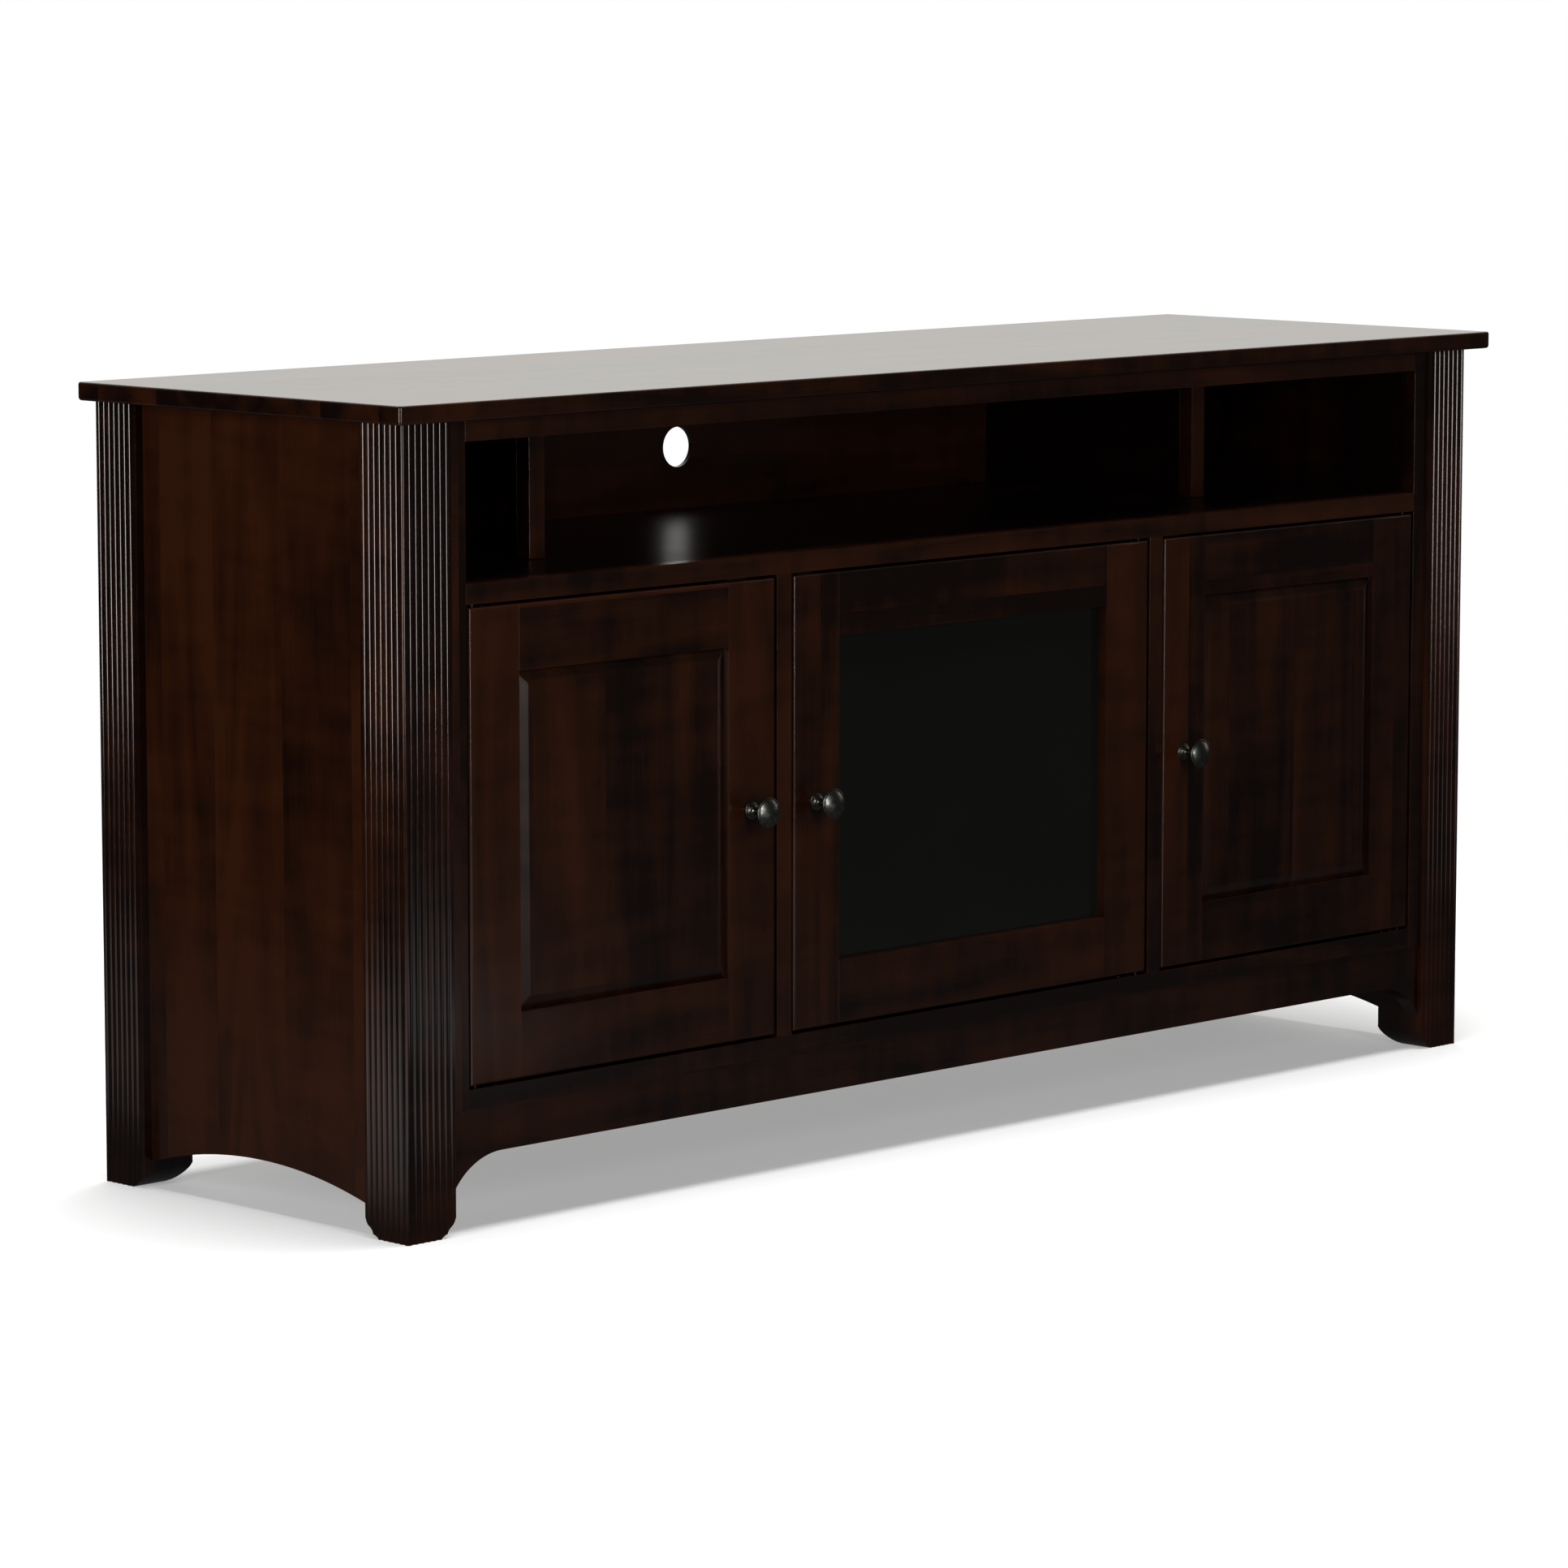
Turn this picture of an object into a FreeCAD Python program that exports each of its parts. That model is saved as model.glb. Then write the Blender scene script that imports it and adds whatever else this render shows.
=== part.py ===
"""Console television cabinet: reeded posts, three open bays over two panelled doors and a glass door.

Frame: +Z up, millimetres. X = 0 is the middle of the cabinet, the doors face -Y, and Z = 0 is the
floor. Y = 0 is halfway between the fronts of the knobs and the back edge of the top.
"""
import FreeCAD, Part
import math
import os
import re
import Sketcher

doc = FreeCAD.newDocument("console_cabinet")
sizes = doc.addObject("Spreadsheet::Sheet", "sizes")

# ---------------------------------------------------------------- driving sizes, in millimetres
SIZES = {
    # overall
    "case_width": 1626, "case_depth": 468, "overall_height": 826,
    # top
    "top_thickness": 19, "top_side_overhang": 20, "top_front_overhang": 20,
    "top_back_overhang": 3, "top_edge_round": 2.5,
    # posts: the reeds share what the plain margin beside the panels leaves of each face
    "post_width": 63.5, "post_corner_round": 2.5, "foot_chamfer": 20,
    "reed_count": 7, "reed_margin": 7.5, "reed_depth": 1.3, "reed_flat": 0.6, "cutter_relief": 2,
    # sides
    "side_panel_thickness": 19, "side_panel_setback": 10,
    "side_arch_spring": 28, "side_arch_rise": 25,
    # boards of the inner case
    "board_thickness": 19, "floor_height": 144, "open_bay_height": 139, "side_bay_width": 212.5,
    "nosing_depth": 20, "nosing_lip": 1.5, "nosing_setback": 134,
    # face frame
    "frame_setback": 3, "frame_thickness": 19, "frame_stile_width": 21.5,
    "top_rail_height": 22, "middle_rail_height": 21, "bottom_rail_height": 20,
    "mullion_width": 21, "outer_opening_width": 430,
    # apron
    "apron_height": 46, "apron_setback": 2, "apron_thickness": 19,
    "bracket_width": 66.5, "bracket_drop": 37,
    # back
    "back_thickness": 6, "back_setback": 6, "cable_hole_diameter": 44.45, "cable_hole_rise": 68,
    # doors
    "door_gap": 3, "door_thickness": 19, "door_member_width": 67, "door_edge_round": 3,
    "tongue_thickness": 6, "tongue_setback": 7, "groove_depth": 9, "panel_room": 1,
    "field_setback": 2, "bevel_width": 14,
    "glass_setback": 11, "glass_thickness": 4, "rebate_width": 8, "glass_room": 1,
    # knobs, measured forwards from the door's face and backwards from the crown
    "knob_diameter": 31.75, "knob_reach": 30, "knob_dome_rise": 4.5, "knob_rim_thickness": 1.8,
    "knob_flare_rise": 5.7, "knob_neck_diameter": 9, "knob_inset": 34,
    "rosette_diameter": 18, "rosette_thickness": 2.5, "rosette_cove": 2.5,
    "screw_diameter": 4, "screw_grip": 10, "screw_hole_room": 0.4, "thread_room": 0.05,
    "screw_head_diameter": 8, "screw_head_thickness": 2.2,
    # pivot hinges
    "pivot_from_edge": 9.5, "pivot_from_face": 6.5, "pivot_diameter": 4, "pivot_running_room": 0.05,
    "pivot_tail": 5, "pivot_tail_room": 0.5,
    "leaf_length": 40, "leaf_width": 7, "leaf_thickness": 2, "leaf_from_edge": 3,
    # catches
    "strike_length": 24, "strike_height": 13, "strike_thickness": 1.2, "strike_drop": 2,
    "catch_length": 40, "catch_depth": 14, "catch_room": 0.3,
    # adjustable shelves: the web is the wood left between two pin holes that meet in a partition
    "shelf_side_room": 1.5, "shelf_front_setback": 13, "shelf_back_room": 6,
    "pin_diameter": 5, "pin_length": 16, "pin_web": 3, "pin_room": 0.05,
    "pin_spacing": 32, "pin_rows": 5, "pin_inset": 60,
}
for row, (alias, value) in enumerate(SIZES.items(), start=1):
    sizes.set(f"A{row}", alias)
    sizes.set(f"B{row}", str(value))
    sizes.setAlias(f"B{row}", alias)
doc.recompute()

WORD = re.compile(r"[a-z_]+")


def full(text):
    """A formula in the sheet's words, such as 'case_width / 2', as a FreeCAD expression."""
    def named(found):
        return "sizes." + found.group() if found.group() in SIZES else found.group()
    return WORD.sub(named, text)


def number(text):
    """The formula's value now, used to draw a sketch near its solved shape."""
    return float(sizes.evalExpression(full(text)))


def bind(thing, prop, text):
    thing.setExpression(prop, full(text))


# ---------------------------------------------------------------- formulas that several pieces share
# Y, from the front of the posts to their back
POST_FRONT = "((knob_reach - frame_setback - case_depth - top_back_overhang) / 2)"
POST_BACK = f"({POST_FRONT} + case_depth)"
FRAME_FRONT = f"({POST_FRONT} + frame_setback)"
FRAME_BACK = f"({FRAME_FRONT} + frame_thickness)"
DOOR_BACK = f"({FRAME_FRONT} + door_thickness)"
# where a strike's back face stands: it is packed out to clear whichever reaches further, frame or door
STRIKE_BACK = f"(max({DOOR_BACK}; {FRAME_BACK}) + strike_thickness)"
BACK_FACE = f"({POST_BACK} - back_setback - back_thickness)"
INSIDE_DEPTH = f"({BACK_FACE} - {FRAME_BACK})"
PIN_FRONT = f"({FRAME_BACK} + pin_inset)"
PIN_BACK = f"({BACK_FACE} - pin_inset)"
# X, as distances from the middle
INSIDE_HALF = "(case_width / 2 - post_width)"
LINER_HALF = f"({INSIDE_HALF} - board_thickness)"
OPENING_HALF = f"({INSIDE_HALF} - frame_stile_width)"
MULLION_HALF = f"({OPENING_HALF} - outer_opening_width - mullion_width)"
PARTITION_HALF = f"({MULLION_HALF} + (mullion_width - board_thickness) / 2)"
# Z
CASE_TOP = "(overall_height - top_thickness)"
SHELF_TOP = f"({CASE_TOP} - top_rail_height - open_bay_height)"
SHELF_UNDER = f"({SHELF_TOP} - board_thickness)"
DOOR_HEAD = f"({SHELF_TOP} - middle_rail_height)"
DOOR_BOTTOM = "(floor_height + door_gap)"
DOOR_TOP = f"({DOOR_HEAD} - door_gap)"
DOOR_HEIGHT = f"({DOOR_TOP} - {DOOR_BOTTOM})"
DOOR_MIDDLE = f"(({DOOR_TOP} + {DOOR_BOTTOM}) / 2)"
APRON_TOP = "(floor_height - bottom_rail_height)"
APRON_BOTTOM = f"({APRON_TOP} - apron_height)"
SHELF_SEAT = f"((floor_height + {SHELF_UNDER}) / 2)"
# small fits
REED_PITCH = "((post_width - reed_margin) / reed_count)"
PIN_SOCKET = "((board_thickness - pin_web) / 2)"
LAP = "(groove_depth - panel_room)"
GLASS_LAP = "(rebate_width - glass_room)"
PIVOT_REACH = "(2 * leaf_thickness + door_gap + pivot_tail)"

SIDES = (("left", -1), ("right", 1))

# Each door: name, low X, width, and its hinged edge (-1 low X, +1 high X)
OUTER_WIDTH = "(outer_opening_width - 2 * door_gap)"
CENTRE_WIDTH = f"(2 * {MULLION_HALF} - 2 * door_gap)"
DOORS = (
    ("left", f"(door_gap - {OPENING_HALF})", OUTER_WIDTH, -1),
    ("centre", f"(door_gap - {MULLION_HALF})", CENTRE_WIDTH, 1),
    ("right", f"({OPENING_HALF} + door_gap - outer_opening_width)", OUTER_WIDTH, 1),
)

pieces = {}


def keep(name, thing):
    """List a finished piece under its node name."""
    thing.Label = name
    pieces[name] = thing


def place(thing, x, y, z):
    for axis, text in zip("xyz", (x, y, z)):
        bind(thing, "Placement.Base." + axis, text)


def near(a, b):
    return abs(a - b) < 1e-6


def inward(side, inner, width):
    """The low X of a piece that starts `inner` from the middle and is `width` wide, on side -1 or +1."""
    return inner if side > 0 else f"-({inner} + {width})"


def from_edge(door, edge, distance, width="0"):
    """The low X of something `width` wide that starts `distance` in from one edge of a door."""
    _, low, wide, _ = door
    if edge < 0:
        return f"({low} + {distance})"
    return f"({low} + {wide} - {distance} - {width})"


# ---------------------------------------------------------------- primitives and booleans
def box(name, x, y, z, wide, deep, high):
    block = doc.addObject("Part::Box", name)
    place(block, x, y, z)
    bind(block, "Length", wide)
    bind(block, "Width", deep)
    bind(block, "Height", high)
    return block


AXIS_TURNS = {"x": ((0, 1, 0), 90), "y": ((1, 0, 0), -90), "z": ((0, 0, 1), 0)}


def rod(name, x, y, z, radius, length, along):
    """A cylinder that starts at (x, y, z) and runs towards +X, +Y or +Z."""
    direction, angle = AXIS_TURNS[along]
    bar = doc.addObject("Part::Cylinder", name)
    bar.Placement.Rotation = FreeCAD.Rotation(FreeCAD.Vector(*direction), angle)
    place(bar, x, y, z)
    bind(bar, "Radius", radius)
    bind(bar, "Height", length)
    return bar


def group(name, shapes):
    result = doc.addObject("Part::Compound", name)
    result.Links = shapes
    return result


def fuse(name, shapes):
    result = doc.addObject("Part::MultiFuse", name)
    result.Shapes = shapes
    return result


def cut(name, base, tools):
    result = doc.addObject("Part::Cut", name)
    result.Base = base
    result.Tool = tools[0] if len(tools) == 1 else group(name + "_tools", tools)
    return result


def board(name, x, y, z, wide, deep, high):
    """A plain rectangular board, kept as a piece."""
    keep(name, box(name, x, y, z, wide, deep, high))


# ---------------------------------------------------------------- bodies made from sketches
def body(name, x, y, z):
    new = doc.addObject("PartDesign::Body", name)
    place(new, x, y, z)
    return new


def origin_part(owner, role):
    return next(item for item in owner.Origin.OriginFeatures if item.Role == role)


def tie(drawing, kind, text, *where):
    """Add one sketch constraint whose value follows the sheet."""
    index = drawing.addConstraint(Sketcher.Constraint(kind, *where, number(text)))
    bind(drawing, f"Constraints[{index}]", text)


def sketch(owner, plane, *loops):
    """Closed loops on one of the body's origin planes, with every corner tied to the sheet.

    A loop is a list of corners (x, y) or (x, y, radius, turn). With a radius, the side that starts at
    that corner is an arc: anticlockwise for turn = 1, and clockwise for turn = -1.
    """
    drawing = owner.newObject("Sketcher::SketchObject", owner.Name + "_sketch")
    drawing.AttachmentSupport = [(origin_part(owner, plane), "")]
    drawing.MapMode = "FlatFace"
    for loop in loops:
        draw_loop(drawing, loop)
    return drawing


def arc_side(start, stop, radius, turn):
    chord = stop - start
    rise = math.sqrt(max(radius ** 2 - (chord.Length / 2) ** 2, 0))
    centre = (start + stop) * 0.5 + FreeCAD.Vector(-chord.y, chord.x, 0).normalize() * turn * rise
    angles = [math.atan2(spot.y - centre.y, spot.x - centre.x) for spot in (start, stop)]
    circle = Part.Circle(centre, FreeCAD.Vector(0, 0, 1), radius)
    return Part.ArcOfCircle(circle, *(angles if turn > 0 else angles[::-1]))


def draw_loop(drawing, loop):
    spots = [FreeCAD.Vector(number(corner[0]), number(corner[1]), 0) for corner in loop]
    first = drawing.GeometryCount
    ends = []
    for i, corner in enumerate(loop):
        start, stop = spots[i], spots[(i + 1) % len(loop)]
        if len(corner) == 2:
            drawing.addGeometry(Part.LineSegment(start, stop))
        else:
            drawing.addGeometry(arc_side(start, stop, number(corner[2]), corner[3]))
        clockwise = len(corner) > 2 and corner[3] < 0
        ends.append((2, 1) if clockwise else (1, 2))
    for i, corner in enumerate(loop):
        here, j = first + i, (i + 1) % len(loop)
        drawing.addConstraint(Sketcher.Constraint("Coincident", here, ends[i][1], first + j, ends[j][0]))
        for kind, text, axis in (("DistanceX", corner[0], -2), ("DistanceY", corner[1], -1)):
            if text == "0":
                drawing.addConstraint(Sketcher.Constraint("PointOnObject", here, ends[i][0], axis))
            else:
                tie(drawing, kind, text, -1, 1, here, ends[i][0])
        if len(corner) > 2:
            tie(drawing, "Radius", corner[2], here)


def draw_circle(drawing, x, y, radius):
    """A circle in a sketch, with its centre and radius tied to the sheet."""
    spot = FreeCAD.Vector(number(x), number(y), 0)
    here = drawing.addGeometry(Part.Circle(spot, FreeCAD.Vector(0, 0, 1), number(radius)))
    tie(drawing, "DistanceX", x, -1, 1, here, 3)
    tie(drawing, "DistanceY", y, -1, 1, here, 3)
    tie(drawing, "Radius", radius, here)


def rectangle(x, y, wide, high):
    """Corners of a rectangle from (x, y), anticlockwise."""
    right, top = f"{x} + {wide}", f"{y} + {high}"
    return [(x, y), (right, y), (right, top), (x, top)]


def feature(owner, kind, drawing, length, reverse=False):
    """A Pad or Pocket of a sketch. A length of None cuts right through."""
    new = owner.newObject("PartDesign::" + kind, f"{owner.Name}_{kind.lower()}")
    new.Profile = drawing
    new.Reversed = reverse
    if length is None:
        new.Type = "ThroughAll"
    else:
        bind(new, "Length", length)
    doc.recompute()
    return new


def repeat(owner, original, axis, spacing, count, reverse=False):
    pattern = owner.newObject("PartDesign::LinearPattern", owner.Name + "_pattern")
    pattern.Originals = [original]
    pattern.Direction = (origin_part(owner, axis), [""])
    pattern.Reversed = reverse
    bind(pattern, "Length", f"{spacing} * ({count} - 1)")
    bind(pattern, "Occurrences", count)
    owner.Tip = pattern
    doc.recompute()


def soften(owner, kind, prop, size, wanted):
    """Fillet or chamfer those edges of the tip whose middle passes the test."""
    edges = enumerate(owner.Tip.Shape.Edges, start=1)
    names = [f"Edge{index}" for index, edge in edges if wanted(edge.CenterOfMass)]
    new = owner.newObject("PartDesign::" + kind, f"{owner.Name}_{kind.lower()}")
    new.Base = (new.BaseFeature, names)
    bind(new, prop, size)
    doc.recompute()


# ---------------------------------------------------------------- top
def make_top():
    """A flat slab with its upper and lower arrises rounded."""
    wide = "(case_width + 2 * top_side_overhang)"
    deep = "(case_depth + top_front_overhang + top_back_overhang)"
    top = body("top_panel", f"-{wide} / 2", f"{POST_FRONT} - top_front_overhang", CASE_TOP)
    feature(top, "Pad", sketch(top, "XY_Plane", rectangle("0", "0", wide, deep)), "top_thickness")
    thick = number("top_thickness")
    soften(top, "Fillet", "Radius", "top_edge_round", lambda mid: near(mid.z, 0) or near(mid.z, thick))
    keep("top_panel", top)


# ---------------------------------------------------------------- posts
def reed_valley(run, into):
    """The valley between the first two reeds of a face that runs along X.

    run and into are the signs of X along the face and of Y into the post.
    """
    half = f"(({REED_PITCH} - reed_flat) / 2)"
    radius = f"(({half}^2 + reed_depth^2) / (2 * reed_depth))"
    turn = run * into
    start, stop = f"{run} * ({REED_PITCH} - {half})", f"{run} * ({REED_PITCH} + {half})"
    low = f"{run} * {REED_PITCH}"
    outside = f"{-into} * cutter_relief"
    return [(start, "0", radius, turn), (low, f"{into} * reed_depth", radius, turn),
            (stop, "0"), (stop, outside), (start, outside)]


def swapped(loop):
    """The same loop on the post's other face: X and Y change places, so its arcs turn the other way."""
    return [(c[1], c[0]) if len(c) == 2 else (c[1], c[0], c[2], -c[3]) for c in loop]


def make_post(name, side, end):
    """A post, started at its outer corner; side is -1 left or +1 right, and end is -1 front or +1 back."""
    run, into = -side, -end
    post = body(name, f"{side} * case_width / 2", POST_FRONT if end < 0 else POST_BACK, "0")
    far_x, far_y = f"{run} * post_width", f"{into} * post_width"
    square = [("0", "0"), (far_x, "0"), (far_x, far_y), ("0", far_y)]
    feature(post, "Pad", sketch(post, "XY_Plane", square), CASE_TOP)
    inner_x, inner_y = number(far_x), number(far_y)
    soften(post, "Chamfer", "Size", "foot_chamfer",
           lambda mid: near(mid.z, 0) and (near(mid.x, inner_x) or near(mid.y, inner_y)))
    soften(post, "Fillet", "Radius", "post_corner_round", lambda mid: near(mid.x, 0) and near(mid.y, 0))
    if end < 0:
        across = feature(post, "Pocket", sketch(post, "XY_Plane", reed_valley(run, into)), None, True)
        repeat(post, across, "X_Axis", REED_PITCH, "reed_count", run < 0)
    back = feature(post, "Pocket", sketch(post, "XY_Plane", swapped(reed_valley(into, run))), None, True)
    repeat(post, back, "Y_Axis", REED_PITCH, "reed_count", into < 0)
    keep(name, post)


# ---------------------------------------------------------------- sides and partitions
def make_side(word, side):
    """A side panel between two posts, arched along its lower edge."""
    span = "(case_depth - 2 * post_width)"
    radius = f"((({span} / 2)^2 + side_arch_rise^2) / (2 * side_arch_rise))"
    face = "(case_width / 2 - side_panel_setback - side_panel_thickness)"
    low = inward(side, face, "side_panel_thickness")
    panel = body(word + "_side_panel", low, f"{POST_FRONT} + post_width", "0")
    outline = [("0", "side_arch_spring", radius, -1), (span, "side_arch_spring"),
               (span, CASE_TOP), ("0", CASE_TOP)]
    feature(panel, "Pad", sketch(panel, "YZ_Plane", outline), "side_panel_thickness")
    keep(word + "_side_panel", panel)


def drill_pin_rows(upright, face):
    """Blind holes for shelf pins in one face of an upright: -1 the low X face, +1 the high X face."""
    drawing = sketch(upright, "YZ_Plane")
    lowest = f"{SHELF_SEAT} - pin_diameter / 2 - pin_spacing * (pin_rows - 1) / 2"
    for y in (PIN_FRONT, PIN_BACK):
        draw_circle(drawing, f"{y} - {FRAME_BACK}", lowest, "(pin_diameter / 2 + pin_room)")
    if face > 0:
        bind(drawing, "AttachmentOffset.Base.z", "board_thickness")
    hole = feature(upright, "Pocket", drawing, PIN_SOCKET, face < 0)
    repeat(upright, hole, "Z_Axis", "pin_spacing", "pin_rows")


def make_upright(name, x, bottom, top, faces):
    """An inner side or a partition: a board on edge, drilled for shelf pins."""
    upright = body(name, x, FRAME_BACK, "0")
    outline = [("0", bottom), (INSIDE_DEPTH, bottom), (INSIDE_DEPTH, top), ("0", top)]
    feature(upright, "Pad", sketch(upright, "YZ_Plane", outline), "board_thickness")
    for face in faces:
        drill_pin_rows(upright, face)
    keep(name, upright)


# ---------------------------------------------------------------- face frame and apron
def leaf(name, door, z):
    """A hinge leaf, or the recess that takes it."""
    return box(name, from_edge(door, door[3], "leaf_from_edge", "leaf_length"),
               f"{FRAME_FRONT} + pivot_from_face - leaf_width / 2", z,
               "leaf_length", "leaf_width", "leaf_thickness")


def make_rail(name, low, high, recess):
    """A rail of the face frame, with a recess for each door's hinge leaf."""
    blank = box(name + "_blank", f"-{OPENING_HALF}", FRAME_FRONT, low,
                f"2 * {OPENING_HALF}", "frame_thickness", high)
    recesses = [leaf(f"{name}_{door[0]}_recess", door, recess) for door in DOORS]
    keep(name, cut(name, blank, recesses))


def make_face_frame():
    for word, side in SIDES:
        board(word + "_frame_stile", inward(side, OPENING_HALF, "frame_stile_width"), FRAME_FRONT,
              APRON_TOP, "frame_stile_width", "frame_thickness", f"{CASE_TOP} - {APRON_TOP}")
        board(word + "_mullion", inward(side, MULLION_HALF, "mullion_width"), FRAME_FRONT,
              "floor_height", "mullion_width", "frame_thickness", f"{DOOR_HEAD} - floor_height")
    board("frame_top_rail", f"-{OPENING_HALF}", FRAME_FRONT, f"{CASE_TOP} - top_rail_height",
          f"2 * {OPENING_HALF}", "frame_thickness", "top_rail_height")
    make_rail("frame_middle_rail", DOOR_HEAD, "middle_rail_height", DOOR_HEAD)
    make_rail("frame_bottom_rail", APRON_TOP, "bottom_rail_height", "floor_height - leaf_thickness")


def make_apron():
    """The front apron: straight along the middle, curving down to a bracket beside each post."""
    inner = f"({INSIDE_HALF} - bracket_width)"
    radius = "((bracket_width^2 + bracket_drop^2) / (2 * bracket_drop))"
    foot = f"({APRON_BOTTOM} - bracket_drop)"
    apron = body("front_apron", "0", f"{FRAME_FRONT} + apron_setback", "0")
    outline = [(f"-{INSIDE_HALF}", APRON_TOP), (f"-{INSIDE_HALF}", foot, radius, -1),
               (f"-{inner}", APRON_BOTTOM), (inner, APRON_BOTTOM, radius, -1),
               (INSIDE_HALF, foot), (INSIDE_HALF, APRON_TOP)]
    feature(apron, "Pad", sketch(apron, "XZ_Plane", outline), "apron_thickness", True)
    keep("front_apron", apron)


# ---------------------------------------------------------------- inner boards and back
def make_inner_boards():
    for name, top in (("cabinet_floor", "floor_height"), ("fixed_shelf", SHELF_TOP)):
        board(name, f"-{LINER_HALF}", FRAME_BACK, f"{top} - board_thickness",
              f"2 * {LINER_HALF}", INSIDE_DEPTH, "board_thickness")


def make_bay_dividers():
    """The two dividers of the open bay, each edged with a nosing a little thicker than the board."""
    front = f"({FRAME_FRONT} + nosing_setback)"
    behind = f"({front} + nosing_depth)"
    divider = f"({LINER_HALF} - side_bay_width - board_thickness)"
    thick = "(board_thickness + 2 * nosing_lip)"
    high = f"{CASE_TOP} - {SHELF_TOP}"
    for word, side in SIDES:
        board(word + "_bay_divider", inward(side, divider, "board_thickness"), behind, SHELF_TOP,
              "board_thickness", f"{BACK_FACE} - {behind}", high)
        board(word + "_divider_nosing", inward(side, f"({divider} - nosing_lip)", thick), front,
              SHELF_TOP, thick, "nosing_depth", high)


def make_back():
    blank = box("back_blank", f"-{INSIDE_HALF}", BACK_FACE, APRON_TOP,
                f"2 * {INSIDE_HALF}", "back_thickness", f"{CASE_TOP} - {APRON_TOP}")
    holes = [rod(word + "_cable_hole", "0", f"{BACK_FACE} - back_thickness", f"{level} + cable_hole_rise",
                 "cable_hole_diameter / 2", "3 * back_thickness", "y")
             for word, level in (("bay", SHELF_TOP), ("compartment", "floor_height"))]
    keep("back_panel", cut("back_panel", blank, holes))


# ---------------------------------------------------------------- adjustable shelves
def shelf_pins(word, low, high):
    """Four pins under one shelf, each half in an upright and half under the shelf."""
    starts = (("low", f"{low} - {PIN_SOCKET}"), ("high", f"{high} + {PIN_SOCKET} - pin_length"))
    return [rod(f"pin_{word}_{wall}_{end}", x, y, f"{SHELF_SEAT} - pin_diameter / 2",
                "pin_diameter / 2", "pin_length", "x")
            for wall, x in starts for end, y in (("front", PIN_FRONT), ("back", PIN_BACK))]


def make_shelves():
    outer = f"({PARTITION_HALF} + board_thickness)"
    bays = (("left", f"-{LINER_HALF}", f"-{outer}"), ("centre", f"-{PARTITION_HALF}", PARTITION_HALF),
            ("right", outer, LINER_HALF))
    front = f"({FRAME_BACK} + shelf_front_setback)"
    pins = []
    for word, low, high in bays:
        board(word + "_shelf", f"{low} + shelf_side_room", front, SHELF_SEAT,
              f"{high} - ({low}) - 2 * shelf_side_room", f"{BACK_FACE} - shelf_back_room - {front}",
              "board_thickness")
        pins += shelf_pins(word, low, high)
    keep("shelf_pins", group("shelf_pins", pins))


# ---------------------------------------------------------------- door frames
# What the inner edge of a door member takes: how far back, how thick and how deep the slot is
SLOTS = {
    "panel": ("tongue_setback", "tongue_thickness", "groove_depth"),
    "glass": ("glass_setback", "(door_thickness - glass_setback)", "rebate_width"),
}


def door_member(name, x, z, wide, high, outer_edges, inner_edge, slot):
    """A stile or rail: rounded along its outer front edges and slotted along its inner edge.

    The edges are named "left", "right", "low" and "high".
    """
    member = body(name, x, FRAME_FRONT, z)
    face = rectangle("0", "0", wide, high)
    feature(member, "Pad", sketch(member, "XZ_Plane", face), "door_thickness", True)
    places = {"left": ("x", 0), "right": ("x", number(wide)), "low": ("z", 0), "high": ("z", number(high))}

    def is_outer_front(mid):
        return near(mid.y, 0) and any(near(getattr(mid, places[edge][0]), places[edge][1])
                                      for edge in outer_edges)

    soften(member, "Fillet", "Radius", "door_edge_round", is_outer_front)
    setback, thick, deep = SLOTS[slot]
    if inner_edge in ("left", "right"):
        start = "0" if inner_edge == "left" else f"({wide} - {deep})"
        plane, loop = "XY_Plane", rectangle(start, setback, deep, thick)
    else:
        start = "0" if inner_edge == "low" else f"({high} - {deep})"
        plane, loop = "YZ_Plane", rectangle(setback, start, thick, deep)
    feature(member, "Pocket", sketch(member, plane, loop), None, True)
    return member


def pivot_spot(door):
    return from_edge(door, door[3], "pivot_from_edge"), f"({FRAME_FRONT} + pivot_from_face)"


def hinge_cutters(name, door):
    """Recesses for a door's two hinge leaves, and holes for the tails of the pins."""
    x, y = pivot_spot(door)
    radius = "(pivot_diameter / 2 + pivot_tail_room)"
    deep = "(leaf_thickness + pivot_tail + pivot_tail_room)"
    return [leaf(name + "_low_recess", door, DOOR_BOTTOM),
            leaf(name + "_high_recess", door, f"{DOOR_TOP} - leaf_thickness"),
            rod(name + "_low_hole", x, y, DOOR_BOTTOM, radius, deep, "z"),
            rod(name + "_high_hole", x, y, f"{DOOR_TOP} - {deep}", radius, deep, "z")]


def make_stiles(door, slot):
    """The two full-height stiles, one cut for the hinges and one bored for the knob's screw."""
    word, _, _, hinged = door
    for role, edge in (("hinge", hinged), ("knob", -hinged)):
        name = f"{word}_door_{role}_stile"
        outer, inner = ("left", "right") if edge < 0 else ("right", "left")
        x = from_edge(door, edge, "0", "door_member_width")
        blank = door_member(name + "_blank", x, DOOR_BOTTOM, "door_member_width", DOOR_HEIGHT,
                            (outer, "low", "high"), inner, slot)
        if role == "hinge":
            tools = hinge_cutters(name, door)
        else:
            tools = [rod(name + "_hole", from_edge(door, edge, "knob_inset"), f"{FRAME_FRONT} - door_gap",
                         DOOR_MIDDLE, "(screw_diameter + screw_hole_room) / 2",
                         "door_thickness + 2 * door_gap", "y")]
        keep(name, cut(name, blank, tools))


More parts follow.
